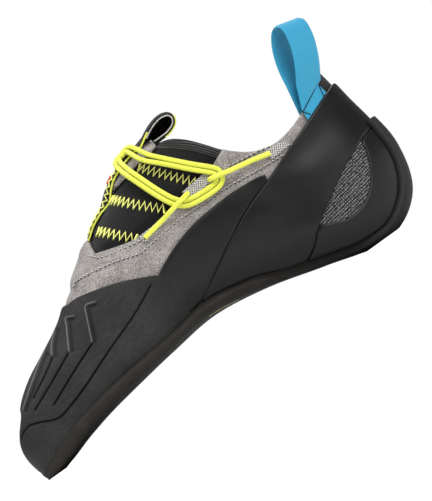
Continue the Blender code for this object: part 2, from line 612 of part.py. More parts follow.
ring_rows = [(*locate(row[:2], row[2]), row[2]) for row in RING_SIDE]
ring_rows += [(*locate(row[:2], row[2], (0, 1), (0.6, 0.999)), row[2]) for row in RING_TURN]
ring_rows = np.array(ring_rows)
hooks = {"front": HOOK_FRONT, "rear": HOOK_REAR}
for side, sign in (("inner", 1), ("outer", -1)):
    middle = lifted(ring_rows[:, 0], sign * ring_rows[:, 1], ring_rows[:, 2])
    facing = outward(ring_rows[:, 0], sign * ring_rows[:, 1])
    ring = rounded_ring(np.concatenate([middle, facing], 1), 35)
    way = np.roll(ring[:, :3], -1, 0) - np.roll(ring[:, :3], 1, 0)
    beside = np.cross(way, ring[:, 3:])
    beside = beside / np.linalg.norm(beside, axis=1, keepdims=True)
    apart = 1.45 + 0.55 * np.exp(-((np.arange(35) / 35 - 0.75) / 0.09) ** 2)
    for label, reach in (("a", -apart), ("b", apart)):
        cord("lace_ring_" + side + "_" + label, ring[:, :3] + beside * reach[:, None], True)
    for label, table in hooks.items():
        places = np.array([(*locate(row[:2], row[2]), row[2]) for row in table])
        points = lifted(places[:, 0], sign * places[:, 1], places[:, 2])
        cord("lace_anchor_" + side + "_" + label, smooth_line(points, 12), False)

# Pull loop over the collar edge of the inner side
loop_across = np.linspace(-0.5, 0.5, 5) * WEBBING_WIDE
collar_p = np.linspace(-0.5, -0.02, 120)
collar = skin(LAST, collar_p)
loop_p = np.interp(LOOP_AT[0] + 0.83 * loop_across, collar[:, 0], collar_p)
heel_edge = front_edge[front_edge[:, 0] > 12.6][::-1]
foot_s = np.interp(-loop_p, -heel_edge[:, 1], heel_edge[:, 0])
foot_s = foot_s + 2 * GAP / stride(foot_s, loop_p)
outside = 2 * GAP + WEBBING / 2
inside = -WALL - 2.5 * GAP - WEBBING / 2
foot_out = np.stack([lifted(foot_s, loop_p, outside + 0 * loop_p),
                     lifted((foot_s + LAST) / 2, loop_p, outside + 0 * loop_p),
                     lifted(LAST + 0 * loop_p, loop_p, outside + 0 * loop_p)])
foot_in = np.stack([lifted(LAST - drop + 0 * loop_p, loop_p, inside + 0 * loop_p)
                    for drop in (0.0, 0.16, 0.32)])
centre = lifted(LAST, loop_p[2], np.array(-WALL / 2))
up = np.array(LOOP_UP) / np.linalg.norm(LOOP_UP)
across = foot_out[2, -1] - foot_out[2, 0]
across = across - up * (across @ up)
across = across / np.linalg.norm(across)
away = np.cross(across, up)
if away @ outward(LAST, loop_p[2]) < 0:
    away = -away
rise = smooth_line(LOOP_PATH, 8)
path = np.concatenate([rise, rise[-2::-1] * (-1, 1)])
free = centre + path[:, 0, None, None] * away + path[:, 1, None, None] * up
slant = LOOP_SLANT * path[:, 1, None, None] / LOOP_PATH[-1][1]
free = free + loop_across[None, :, None] * (across + slant * up)
ribbon("pull_loop", np.concatenate([foot_out, free, foot_in])[:, ::-1], WEBBING, blue_web)
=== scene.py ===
import bpy
import bmesh
import numpy as np
from mathutils import Matrix, Vector
from mathutils.kdtree import KDTree


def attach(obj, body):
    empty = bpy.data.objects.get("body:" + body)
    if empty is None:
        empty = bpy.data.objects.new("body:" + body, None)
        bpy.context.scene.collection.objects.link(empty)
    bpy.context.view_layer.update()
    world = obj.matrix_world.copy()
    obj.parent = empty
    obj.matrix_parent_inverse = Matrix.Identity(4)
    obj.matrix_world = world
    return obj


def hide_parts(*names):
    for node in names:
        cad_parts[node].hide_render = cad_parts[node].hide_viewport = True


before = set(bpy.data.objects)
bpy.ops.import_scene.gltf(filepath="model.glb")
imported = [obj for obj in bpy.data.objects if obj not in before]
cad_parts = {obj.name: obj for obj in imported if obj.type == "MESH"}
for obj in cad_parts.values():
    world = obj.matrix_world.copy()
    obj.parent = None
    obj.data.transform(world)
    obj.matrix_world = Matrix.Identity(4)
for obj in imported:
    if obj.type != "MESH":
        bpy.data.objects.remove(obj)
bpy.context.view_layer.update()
mm = 0.001

# The last of the shoe in millimetres, a row for each section from the nose of the toe to the collar:
# floor x, floor z, roof x, roof z, bow, inner y, outer y, ridge y, widest, floor power, roof power, roll
lastRows = np.array((
    (-117.4, 4.6, -108.5, 37.0, 6.0, -15.0, -15.0, -15.0, 0.42, 2.6, 2.2, 0.0),
    (-113.6, 4.3, -104.0, 41.2, 5.5, -27.5, -1.0, -14.5, 0.42, 3.0, 2.2, 0.5),
    (-103.5, 7.3, -95.0, 47.2, 3.5, -36.0, 12.5, -13.5, 0.41, 3.8, 2.2, 2.0),
    (-90.0, 12.0, -82.5, 53.4, 1.5, -41.5, 23.5, -12.0, 0.40, 4.4, 2.2, 3.0),
    (-74.0, 16.0, -66.5, 62.5, 0.5, -45.0, 33.0, -10.0, 0.38, 4.6, 2.2, 3.2),
    (-55.0, 19.0, -49.5, 78.0, 0.0, -45.5, 40.5, -7.5, 0.36, 4.4, 2.1, 2.8),
    (-32.0, 22.0, -30.0, 89.8, 0.0, -42.0, 43.5, -5.0, 0.36, 4.0, 2.1, 2.5),
    (-4.0, 24.8, -13.0, 98.2, 0.5, -35.5, 41.5, -3.0, 0.38, 3.6, 2.2, 3.5),
    (27.0, 20.0, -0.5, 104.8, 2.0, -32.5, 38.0, -1.5, 0.40, 3.4, 2.2, 2.0),
    (58.0, 11.4, 8.0, 108.0, 4.5, -32.0, 35.0, -0.5, 0.40, 3.4, 2.2, 0.5),
    (89.0, 4.1, 14.0, 109.0, 8.0, -32.0, 33.0, 0.0, 0.40, 3.4, 2.2, 0.0),
    (109.8, 14.4, 18.0, 108.6, 12.0, -31.0, 31.5, 0.0, 0.42, 2.4, 2.2, 0.0),
    (117.2, 37.0, 21.0, 107.8, 16.5, -30.0, 30.5, 0.0, 0.45, 2.2, 2.2, 0.0),
    (114.6, 61.0, 23.2, 107.0, 20.5, -29.0, 29.5, 0.0, 0.48, 2.1, 2.2, 0.0),
    (110.0, 87.5, 25.0, 106.0, 24.3, -28.0, 28.5, 0.0, 0.50, 2.1, 2.2, 0.0)))
lastEnd = len(lastRows) - 1
bowSkew = 0.95  # the collar dips most behind its middle
toFloor = np.array((0.34, 0.99, -1.0))  # from the last's own axes to the middle of the floor
layers = dict(wall=1.8, stayStep=0.7, gap=0.4, rubber=1.5, sole=4.1, tuck=6.0, stayWide=8.0, ground=1.0)
rubberTop = layers["gap"] + layers["rubber"]

# Seam lines as they show from the inner side, x and z
seams = dict(
    sole=((-117.5, 5.0), (-105.6, 10.9), (-84.0, 17.6), (-59.0, 21.8), (-25.0, 25.0), (-5.0, 27.6),
          (19.0, 24.3), (40.0, 16.6), (60.0, 10.5), (75.0, 6.8), (89.0, 6.0), (97.0, 8.2), (104.0, 12.8),
          (110.0, 19.4), (114.2, 28.0), (116.0, 37.4), (115.6, 50.0)),
    throat=((-34.0, 79.0), (-21.0, 74.8), (-10.0, 72.8), (4.0, 74.2), (18.7, 75.9), (34.0, 78.7),
            (47.0, 83.8)),
    toe=((-12.5, 26.5), (-9.0, 36.0), (-8.4, 45.0), (-14.1, 51.7), (-31.5, 60.3), (-50.9, 66.4),
         (-59.5, 67.0)),
    rand=((-13.4, 52.0), (-0.8, 57.9), (15.3, 62.4), (36.1, 63.9), (51.9, 62.9), (57.5, 61.6)),
    bandFront=((-4.6, 28.0), (13.8, 39.1), (38.7, 52.2), (60.4, 59.9), (87.4, 69.8), (107.8, 77.7)),
    bandRear=((49.6, 14.0), (56.5, 18.0), (65.2, 25.4), (87.9, 39.0), (106.8, 47.6), (115.0, 49.8)),
    window=((56.5, 17.4), (64.2, 24.1), (69.0, 22.9), (76.1, 19.9), (83.6, 19.5), (91.3, 21.9), (97.8, 26.9),
            (102.5, 33.4), (105.9, 40.8), (107.5, 46.7), (112.0, 48.5)))


def cubic(a, b, c, d, t):
    square, cube = 2 * a - 5 * b + 4 * c - d, 3 * b - a - 3 * c + d
    return 0.5 * (2 * b + (c - a) * t + square * t ** 2 + cube * t ** 3)


beforeNose = lastRows[1].copy()
beforeNose[[5, 6]] = lastRows[1][[6, 5]]
lastKnots = np.vstack([beforeNose, lastRows, 2 * lastRows[-1] - lastRows[-2]])


def sectionAt(s):
    s = np.clip(np.asarray(s, float), 0, lastEnd)
    i = np.minimum(s.astype(int), lastEnd - 1)
    return np.moveaxis(cubic(*[lastKnots[i + k] for k in range(4)], (s - i)[..., None]), -1, 0)


# A point of the last: s counts sections from the nose, p runs -1 to 1 round a section, 0 under the foot
def skin(s, p):
    s, p = np.broadcast_arrays(np.asarray(s, float), np.asarray(p, float))
    (floorX, floorZ, roofX, roofZ, bow, innerY, outerY, ridgeY, widest, floorPower, roofPower,
     roll) = sectionAt(s)
    p = (p + 1) % 2 - 1
    share = np.abs(p)
    low = share <= 0.5
    angle = np.pi * np.where(low, share, 1 - share)
    power = 2 / np.where(low, floorPower, roofPower)
    fall = np.abs(np.cos(angle)) ** power
    reach = np.abs(np.sin(angle)) ** power
    rise = np.where(low, widest * (1 - fall), 1 - (1 - widest) * (1 - fall))
    middle = (innerY + outerY) / 2
    axis = middle + (ridgeY - middle) * rise * rise * (3 - 2 * rise)
    axisWide = middle + (ridgeY - middle) * widest * widest * (3 - 2 * widest)
    y = axis + reach * np.where(p < 0, innerY - axisWide, outerY - axisWide)
    runX, runZ = roofX - floorX, roofZ - floorZ
    length = np.hypot(runX, runZ)
    drop = rise + bowSkew * rise ** 3 * (1 - rise)
    bend = bow * 4 * drop * (1 - drop)
    shear = -(y - middle) * np.tan(np.radians(roll)) * (1 - rise) ** 2
    x = floorX + runX * rise - runZ / length * bend + runX / length * shear
    z = floorZ + runZ * rise + runX / length * bend + runZ / length * shear
    return np.stack([x, y, z], -1)


def unit(v):
    return v / np.linalg.norm(v, axis=-1, keepdims=True)


def outward(s, p):
    step = 1e-3
    s, p = np.broadcast_arrays(np.asarray(s, float), np.asarray(p, float))
    inside = np.clip(s, 2 * step, lastEnd)

    def facing(way):
        along = skin(np.minimum(inside + step, lastEnd), way) - skin(inside - step, way)
        return unit(np.cross(skin(inside, way + step) - skin(inside, way - step), along))

    return unit(np.where((s < step)[..., None], facing(p) + facing(-p), facing(p)))


def lifted(s, p, lift):
    return skin(s, p) + outward(s, p) * np.asarray(lift, float)[..., None]


def creep(s, p, distance):
    speed = np.linalg.norm(skin(s, p + 1e-3) - skin(s, p - 1e-3), axis=-1) / 2e-3
    return p + distance / speed


def stride(s, p):
    return np.linalg.norm(skin(s, p) - skin(s - 1e-3, p), axis=-1) / 1e-3


# Places on the inner side that show at points of the side view (axes 0, 2) or of the plan (axes 0, 1)
def locate(points, lift, axes=(0, 2), near=(0.02, 0.985)):
    points = np.atleast_2d(np.asarray(points, float))
    lift = np.broadcast_to(np.asarray(lift, float), len(points))
    axes = list(axes)
    sField, pField = np.meshgrid(np.linspace(0.03, lastEnd, 113), -np.linspace(*near, 60), indexing="ij")
    field = lifted(sField, pField, np.full(sField.shape, lift.mean()))[..., axes].reshape(-1, 2)
    nearest = [int(np.argmin(((field - point) ** 2).sum(1))) for point in points]
    s, p = sField.ravel()[nearest], pField.ravel()[nearest]
    base, pace = lifted(s, p, lift)[:, axes], np.ones(len(points))
    for turn in range(26):
        alongS = (lifted(s - 1e-3, p, lift)[:, axes] - base) / -1e-3
        alongP = (lifted(s, p + 1e-4, lift)[:, axes] - base) / 1e-4
        slope = np.stack([alongS, alongP], -1)
        square = slope.transpose(0, 2, 1) @ slope
        square += np.eye(2) * 1e-6 * np.trace(square, axis1=1, axis2=2)[:, None, None]
        move = np.linalg.solve(square, slope.transpose(0, 2, 1) @ (points - base)[:, :, None])[:, :, 0]
        tryS = np.clip(s + pace * np.clip(move[:, 0], -0.2, 0.2), 0.01, lastEnd)
        tryP = np.clip(p + pace * np.clip(move[:, 1], -0.02, 0.02), -near[1], -near[0])
        tryBase = lifted(tryS, tryP, lift)[:, axes]
        closer = np.linalg.norm(points - tryBase, axis=1) < np.linalg.norm(points - base, axis=1)
        s, p = np.where(closer, tryS, s), np.where(closer, tryP, p)
        base, pace = np.where(closer[:, None], tryBase, base), np.where(closer, 1.0, pace * 0.4)
    return np.stack([s, p], 1)


def smoothLine(points, count):
    points = np.array(points, float)
    padded = np.vstack([2 * points[0] - points[1], points, 2 * points[-1] - points[-2]])
    length = np.concatenate([[0], np.cumsum(np.linalg.norm(np.diff(points[:, :3], axis=0), axis=1))])
    want = np.linspace(0, length[-1], count)
    i = np.clip(np.searchsorted(length, want, side="right") - 1, 0, len(points) - 2)
    t = ((want - length[i]) / (length[i + 1] - length[i]))[:, None]
    return cubic(padded[i], padded[i + 1], padded[i + 2], padded[i + 3], t)


def sideLine(points, count, shift=0.0):
    line = smoothLine(points, count)
    way = unit(np.gradient(line, axis=0))
    return line + np.stack([-way[:, 1], way[:, 0]], 1) * shift


def trace(points, count, lift, shift=0.0):
    return locate(sideLine(points, count, shift), lift)


def between(a, b, count):
    return a + (b - a) * np.linspace(0, 1, count)[:, None]


def fill(left, right, floor, roof):  # four edge lines to a grid of places
    v = np.linspace(0, 1, len(left))[:, None, None]
    u = np.linspace(0, 1, len(floor))[None, :, None]
    corner = (1 - u) * ((1 - v) * left[0] + v * left[-1]) + u * ((1 - v) * right[0] + v * right[-1])
    return (1 - u) * left[:, None] + u * right[:, None] + (1 - v) * floor[None] + v * roof[None] - corner


def ease(t):
    t = np.clip(t, 0, 1)
    return t * t * (3 - 2 * t)


def closeEnds(count, pull=0.6):  # 0 to 1, with the steps closer at both ends
    t = np.linspace(0, 1, count)
    return t - pull * np.sin(2 * np.pi * t) / (2 * np.pi)


# Materials
def hexColour(code):
    rgb = [int(code[i:i + 2], 16) / 255 for i in (0, 2, 4)]
    return tuple(c / 12.92 if c <= 0.04045 else ((c + 0.055) / 1.055) ** 2.4 for c in rgb) + (1.0,)


def addNode(tree, kind, links=None, stops=(), **settings):  # stops of a colour ramp: place and hex colour
    node = tree.nodes.new(kind)
    for name, value in settings.items():
        setattr(node, name, value)
    for socket, source in (links or {}).items():
        if isinstance(source, bpy.types.NodeSocket):
            tree.links.new(source, node.inputs[socket])
        else:
            node.inputs[socket].default_value = source
    for _ in stops[2:]:
        node.color_ramp.elements.new(0.5)
    for element, (place, code) in zip(node.color_ramp.elements if stops else (), stops):
        element.position, element.color = place, hexColour(code)
    return node


# The nodes that most finishes use, each giving back the socket that goes on to the next
def maths(tree, operation, *values):
    return addNode(tree, "ShaderNodeMath", dict(enumerate(values)), operation=operation).outputs[0]


def noise(tree, coords, scale, detail, roughness=0.5):
    return addNode(tree, "ShaderNodeTexNoise", {
        "Vector": coords, "Scale": scale, "Detail": detail, "Roughness": roughness}).outputs


def ramp(tree, value, *stops):
    return addNode(tree, "ShaderNodeValToRGB", {"Fac": value}, stops).outputs["Color"]


def mixed(tree, share, first, second):
    return addNode(tree, "ShaderNodeMix", {0: share, 6: first, 7: second}, data_type="RGBA").outputs[2]


def mapped(tree, value, start, end, low, high):
    return addNode(tree, "ShaderNodeMapRange", {
        "Value": value, "From Min": start, "From Max": end, "To Min": low, "To Max": high}).outputs["Result"]


def objectCoords(tree):
    return addNode(tree, "ShaderNodeTexCoord").outputs["Object"]


def newMaterial(name, **sockets):
    made = bpy.data.materials.new(name)
    made.use_nodes = True
    shader = made.node_tree.nodes["Principled BSDF"]
    for socket, value in sockets.items():
        shader.inputs[socket.replace("_", " ")].default_value = value
    return made, made.node_tree, shader


def dress(tree, shader, colour, height, strength, deep, **settings):  # colour and bump on to the shader
    tree.links.new(colour, shader.inputs["Base Color"])
    bump = addNode(tree, "ShaderNodeBump", {
        "Height": height, "Strength": strength, "Distance": deep}, **settings)
    tree.links.new(bump.outputs["Normal"], shader.inputs["Normal"])


def perMetre(size):  # how many of a size in millimetres fit a metre
    return 1000.0 / size


# Split suede, brushed: pale and dark fibre tips, soft hand marks, no shine
suedeLook = dict(light="b2adaa", mid="8b8683", dark="605b58", fibre=0.7, marks=9.0, bump=0.4)
suede, tree, shader = newMaterial("suede, brushed", Roughness=0.92, Specular_IOR_Level=0.2, Sheen_Weight=0.1,
                                  Sheen_Roughness=0.5, IOR=1.45)
fibre = noise(tree, objectCoords(tree), perMetre(suedeLook["fibre"]), 3.0, 0.7)["Fac"]
marks = noise(tree, objectCoords(tree), perMetre(suedeLook["marks"]), 4.0)["Fac"]
nap = maths(tree, "MULTIPLY_ADD", marks, 0.25, maths(tree, "MULTIPLY", fibre, 0.75))
napColour = ramp(tree, nap, (0.36, suedeLook["dark"]), (0.50, suedeLook["mid"]), (0.64, suedeLook["light"]))
dress(tree, shader, napColour, nap, suedeLook["bump"], 0.0005)

# Lining, knitted polyester: dull dark grey with a fine knit
liningLook = dict(light="3a3a3c", dark="1c1c1e", knit=1.1)
lining, tree, shader = newMaterial("polyester lining, knitted", Roughness=0.9, Specular_IOR_Level=0.2,
                                   Sheen_Weight=0.1)
knit = addNode(tree, "ShaderNodeTexVoronoi", {
    "Vector": objectCoords(tree), "Scale": perMetre(liningLook["knit"])}).outputs["Distance"]
knitColour = ramp(tree, knit, (0.1, liningLook["light"]), (0.7, liningLook["dark"]))
dress(tree, shader, knitColour, knit, 0.4, 0.0004, invert=True)


# Rubber: near black, a fine moulded grain and the dust of handling in patches. Marks of a piece are read:
# buff, where it is ground paler, edge, a painted highlight along a raised edge, the recess mark, painted
# shade in a recess, and lip and cut, the distances in millimetres to a raised lip and to a groove, with how
# deep each is there, which lay a painted highlight along the lip and painted shade in the groove
def rubberMaterial(name, look):
    made, tree, shader = newMaterial(name, IOR=1.52, Specular_IOR_Level=look["gloss"])
    coords = objectCoords(tree)
    turned = addNode(tree, "ShaderNodeMapping", {
        "Vector": coords, "Rotation": look["turn"], "Scale": look["stretch"]}).outputs["Vector"]
    grain = noise(tree, coords, perMetre(look["grain"]), 3.0)["Fac"]
    dust = noise(tree, coords, perMetre(look["patches"]), 5.0, 0.6)["Fac"]
    brush = noise(tree, turned, perMetre(look["brush"]), 4.0)["Fac"]
    streak = maths(tree, "MULTIPLY_ADD", brush, 0.3, maths(tree, "MULTIPLY", grain, 0.35))
    tone = maths(tree, "MULTIPLY_ADD", dust, 0.35, streak)
    plain = ramp(tree, tone, (0.36, look["dark"]), (0.5, look["mid"]), (0.66, look["light"]))
    ground = ramp(tree, tone, (0.38, look["buffDark"]), (0.5, look["buffMid"]), (0.62, look["buffLight"]))
    buff, edge, recessShade, lip, lipDeep, cut, cutDeep = (
        addNode(tree, "ShaderNodeAttribute", attribute_name=mark).outputs["Fac"]
        for mark in ("buff", "edge", "recessShade", "lip", "lipDeep", "cut", "cutDeep"))
    fromLip, fromCut = maths(tree, "ABSOLUTE", lip), maths(tree, "ABSOLUTE", cut)
    # a painted highlight, pale, along each hook's raised lip
    lipHighlight = maths(tree, "MULTIPLY", mapped(tree, fromLip, 0.4, 0.1, 0.0, 0.5), lipDeep)
    # painted shade, near black, down the middle of each groove
    grooveShade = maths(tree, "MULTIPLY", mapped(tree, fromCut, 0.7, 0.36, 0.0, 1.0), cutDeep)
    colour = mixed(tree, buff, plain, ground)
    # painted light: shade in the recess and the groove, a highlight along the edge and the lip
    for share, code in ((recessShade, "0b0b0b"), (edge, look["edge"]), (lipHighlight, look["edge"]),
                        (grooveShade, "020202")):
        colour = mixed(tree, share, colour, hexColour(code))
    tree.links.new(mapped(tree, tone, 0.35, 0.65, *look["rough"]), shader.inputs["Roughness"])
    height = maths(tree, "MULTIPLY_ADD", brush, look["brushed"], grain)
    dress(tree, shader, colour, height, look["bump"], 0.0003)
    return made


# In each rubber look, edge is the pale colour of the painted highlights along raised edges and lips
mouldedGrain = dict(grain=0.45, patches=22.0, brush=0.8, turn=(0.0, 0.624, 0.0), stretch=(0.05, 1.0, 1.0),
                    brushed=0.6, bump=0.14)
# Rand rubber, moulded: near black with a broad satin light
randRubber = rubberMaterial("rand rubber, moulded", dict(
    mouldedGrain, dark="090909", mid="0d0d0d", light="141413", buffDark="151515", buffMid="1d1d1d",
    buffLight="292928", edge="767573", gloss=0.26, rough=(0.33, 0.44)))
# Toe rubber, moulded and left matt: dark grey with its grooves painted near black as shade, buffed paler
# along the foot
toeRubber = rubberMaterial("toe rubber, moulded and buffed", dict(
    mouldedGrain, dark="202020", mid="272727", light="31312f", buffDark="262626", buffMid="2e2e2e",
    buffLight="3a3a39", edge="858482", gloss=0.10, rough=(0.52, 0.66)))
# Sole rubber, sheet cut and ground: dull, a little brown with dust, rough at the ground edge
soleRubber = rubberMaterial("sole rubber, ground", dict(
    dark="141312", mid="1c1b1a", light="292827", buffDark="242220", buffMid="2e2b28", buffLight="3c3834",
    edge="6e6d6b", gloss=0.2, rough=(0.62, 0.82), grain=0.5, patches=14.0, brush=0.9, turn=(0.0, -0.2, 0.0),
    stretch=(0.15, 1.0, 1.0), brushed=0.6, bump=0.3))


# Woven and knitted cloth on a UV map in millimetres: threads along and across, seen as rows of small humps,
# or as ribs alone where cross is 0
def clothMaterial(name, look):
    made, tree, shader = newMaterial(name, Roughness=look["rough"], Specular_IOR_Level=0.25,
                                     Sheen_Weight=look["sheen"])
    uv = addNode(tree, "ShaderNodeUVMap", uv_map="cloth").outputs["UV"]
    yarn = noise(tree, uv, 1.0 / look["yarn"], 3.0)
    turned = addNode(tree, "ShaderNodeMapping", {"Vector": uv, "Rotation": (0.0, 0.0, look["turn"])})
    wander = addNode(tree, "ShaderNodeVectorMath", {
        0: yarn["Color"], "Scale": look["wander"]}, operation="SCALE")
    wander = addNode(tree, "ShaderNodeVectorMath", {
        0: turned.outputs["Vector"], 1: wander.outputs["Vector"]}, operation="ADD")
    split = addNode(tree, "ShaderNodeSeparateXYZ", {"Vector": wander.outputs["Vector"]}).outputs
    humps = []
    for way, thread in (("X", "warp"), ("Y", "weft")):
        turns = maths(tree, "MULTIPLY", split[way], np.pi / look[thread])
        humps.append(maths(tree, "ABSOLUTE", maths(tree, "SINE", turns)))
    crossed = maths(tree, "MULTIPLY_ADD", humps[1], look["cross"], 1.0 - look["cross"])
    weave = maths(tree, "MULTIPLY", humps[0], crossed)
    tone = maths(tree, "MULTIPLY_ADD", yarn["Fac"], look["uneven"], weave)
    tone = maths(tree, "DIVIDE", tone, 1.0 + 0.5 * look["uneven"])
    colour = ramp(tree, tone, (0.2, look["dark"]), (0.55, look["mid"]), (0.95, look["light"]))
    dress(tree, shader, colour, tone, look["bump"], 0.0004)
    return made


# Tongue elastic, knitted: black with a fine matt knit, drawn coarser than 0.5 mm so that it shows
elastic = clothMaterial("elastic, knitted", dict(
    dark="020202", mid="090809", light="242325", rough=0.9, sheen=0.05, warp=1.2, weft=1.0, cross=0.8,
    turn=0.4, yarn=0.9, uneven=0.8, wander=0.2, bump=0.5))
# Ribbed elastic at the collar: black rubber threads in yarn, drawn coarser than 0.6 mm so that it shows
ribElastic = clothMaterial("ribbed elastic, covered", dict(
    dark="040404", mid="252425", light="6a6868", rough=0.85, sheen=0.05, warp=1.25, weft=0.9, cross=0.15,
    turn=0.0, yarn=0.8, uneven=0.3, wander=0.1, bump=0.5))
# Heel mesh, knitted: short pale yarns over black ground, drawn a little coarser than 1 mm so that they show
meshCloth = clothMaterial("heel mesh, knitted", dict(
    dark="020202", mid="101011", light="7e7e80", rough=0.8, sheen=0.05, warp=1.1, weft=1.4, cross=1.0,
    turn=-0.16, yarn=1.1, uneven=1.2, wander=1.7, bump=0.9))
# Strap webbing, woven polyamide: black with a tight cross rib
strapWeb = clothMaterial("strap webbing, woven", dict(
    dark="070707", mid="111111", light="252424", rough=0.75, sheen=0.05, warp=0.9, weft=0.9, cross=0.8,
    turn=0.0, yarn=0.9, uneven=0.6, wander=0.1, bump=0.5))
# Anchor tape, woven: grey and white speckle
anchorTape = clothMaterial("anchor tape, woven", dict(
    dark="4a4746", mid="7f7b79", light="d8d6d4", rough=0.85, sheen=0.05, warp=1.1, weft=1.1, cross=0.9,
    turn=0.5, yarn=0.8, uneven=1.2, wander=0.5, bump=0.8))
# Blue webbing, woven polyester: even colour, fine cross rib, slight satin
blueWeb = clothMaterial("blue webbing, woven", dict(
    dark="1b7699", mid="2a8fb4", light="3ea3c4", rough=0.65, sheen=0.1, warp=0.75, weft=0.75, cross=0.8,
    turn=0.0, yarn=0.9, uneven=0.5, wander=0.1, bump=0.35))
# Cord, braided polyester over rubber: bright yellow, small diagonal braid
yellowCord = clothMaterial("yellow cord, braided", dict(
    dark="bcc224", mid="e6ec3c", light="f6f88a", rough=0.6, sheen=0.1, warp=0.7, weft=0.7, cross=0.8,
    turn=0.785, yarn=0.7, uneven=0.4, wander=0.1, bump=0.4))


# Sewing thread, twisted: plain colour with the twist in its bump
def threadMaterial(name, code, dark):
    made, tree, shader = newMaterial(name, Roughness=0.6, Specular_IOR_Level=0.25)
    twist = noise(tree, objectCoords(tree), perMetre(0.4), 2.0)["Fac"]
    dress(tree, shader, ramp(tree, twist, (0.3, dark), (0.6, code)), twist, 0.3, 0.0002)
    return made


yellowThread = threadMaterial("yellow thread, twisted", "fafb96", "d6da58")
# grey thread for the stitches, and also for the painted highlights along the tab's edges
greyThreadAndTabHighlight = threadMaterial("grey thread, twisted, and painted tab edge highlights", "c9c5c2", "8d8986")
# painted shadow, dark, that the stitches cast on the suede
stitchShadowPaint = threadMaterial("stitch shadows in suede, painted", "2c2928", "1d1b1a")
blackThread = threadMaterial("black thread, twisted", "121213", "0a0a0b")
redTape = threadMaterial("red tape, woven", "c8303a", "98202a")
yellowPrint = threadMaterial("yellow print, screened", "d9d98c", "c3c36f")
print("materials", len(bpy.data.materials))


# Meshes
def makePiece(name, points, faces, looks, replaced=(), uv=None, inner=None, marks=None):
    mesh = bpy.data.meshes.new(name)
    mesh.from_pydata(((np.asarray(points) + toFloor) * mm).tolist(), [], [tuple(face) for face in faces])
    if uv is not None:
        layer = mesh.uv_layers.new(name="cloth")
        corner = np.zeros(len(mesh.loops), int)
        mesh.loops.foreach_get("vertex_index", corner)
        layer.data.foreach_set("uv", np.asarray(uv, float)[corner].ravel())
    for mark, values in (marks or {}).items():
        mesh.attributes.new(mark, "FLOAT", "POINT").data.foreach_set("value", np.asarray(values, np.float32))
    for look in looks:
        mesh.materials.append(look)
    if inner is not None:
        mesh.polygons.foreach_set("material_index", np.asarray(inner, np.int32))
    mesh.polygons.foreach_set("use_smooth", np.ones(len(mesh.polygons), bool))
    work = bmesh.new()
    work.from_mesh(mesh)
    bmesh.ops.dissolve_degenerate(work, dist=1e-8, edges=work.edges)
    bmesh.ops.recalc_face_normals(work, faces=work.faces)
    if work.calc_volume(signed=True) < 0:
        bmesh.ops.reverse_faces(work, faces=work.faces)
    work.to_mesh(mesh)
    work.free()
    mesh.set_sharp_from_angle(angle=1.0)
    made = bpy.data.objects.new(name, mesh)
    bpy.context.scene.collection.objects.link(made)
    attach(made, "root")
    if replaced:
        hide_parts(*replaced)
    return made


# A closed piece between two faces of one grid, its rims rounded; round is the radius at top and bottom
def gridPiece(name, top, bottom, looks, slot, replaced=(), round=(0.7, 0.0), mask=None, uv=None, marks=None):
    rows, columns = top.shape[:2]
    mask = np.ones((rows - 1, columns - 1), bool) if mask is None else mask
    flat = top.reshape(-1, 3)
    _, first, number = np.unique(np.round(flat, 4), axis=0, return_index=True, return_inverse=True)
    number = number.reshape(rows, columns)
    i, j = np.nonzero(mask)
    quads = np.stack([number[i, j], number[i, j + 1], number[i + 1, j + 1], number[i + 1, j]], 1)
    edges = {(int(a), int(b)) for quad in quads for a, b in zip(quad, np.roll(quad, -1)) if a != b}
    rim = [edge for edge in edges if edge[::-1] not in edges]
    count = len(first)
    upper, lower = flat[first], bottom.reshape(-1, 3)[first]
    rimPoints = sorted({a for edge in rim for a in edge})
    tree = KDTree(len(rimPoints))
    for n, a in enumerate(rimPoints):
        tree.insert(upper[a], n)
    tree.balance()
    used = np.unique(quads)
    away = np.full(count, 99.0)
    away[used] = [tree.find(upper[a])[2] for a in used]
    thick = lower - upper

    def sink(radius):
        near = np.clip(radius - away, 0, radius)
        return radius - np.sqrt(np.maximum(radius ** 2 - near ** 2, 0))

    deep = np.maximum(np.linalg.norm(thick, axis=1), 1e-6)
    crest = np.broadcast_to(round[0], top.shape[:2]).reshape(-1)[first]
    inward = thick / deep[:, None]
    upperNew = upper + inward * np.minimum(sink(crest), deep * 0.6)[:, None]
    lowerNew = lower - inward * np.minimum(sink(round[1]), deep * 0.35)[:, None] if round[1] else lower
    walls = [(b, a, a + count, b + count) for a, b in rim]
    faces = quads.tolist() + (quads[:, ::-1] + count).tolist() + walls
    faces = [list(dict.fromkeys(face)) for face in faces]
    inner = [0] * len(quads) + [len(looks) - 1] * len(quads) + [0] * len(rim)
    kept = [n for n, face in enumerate(faces) if len(face) > 2]
    points = np.concatenate([upperNew, lowerNew])
    live = np.unique(np.concatenate([faces[n] for n in kept]))
    order = np.zeros(len(points), int)
    order[live] = np.arange(len(live))
    if uv is not None:
        uv = np.concatenate([uv.reshape(-1, 2)[first]] * 2)[live]
    marks = {mark: np.concatenate([values.reshape(-1)[first]] * 2)[live]
             for mark, values in (marks or {}).items()}
    facesNew, innerNew = [order[faces[n]].tolist() for n in kept], [inner[n] for n in kept]
    return makePiece(name, points[live], facesNew, looks, replaced, uv, innerNew, marks)


def patch(name, s, p, low, high, looks, slot, replaced=(), **more):
    low, high = (np.broadcast_to(np.asarray(lift, float), s.shape) for lift in (low, high))
    return gridPiece(name, lifted(s, p, high), lifted(s, p, low), looks, slot, replaced, **more)


def lengths(grid):  # a UV map in millimetres from a grid of points
    u = np.cumsum(np.linalg.norm(np.diff(grid, axis=0, prepend=grid[:1]), axis=-1), 0)
    v = np.cumsum(np.linalg.norm(np.diff(grid, axis=1, prepend=grid[:, :1]), axis=-1), 1)
    return np.stack([u - u.mean(), v - v[:, v.shape[1] // 2][:, None]], -1)


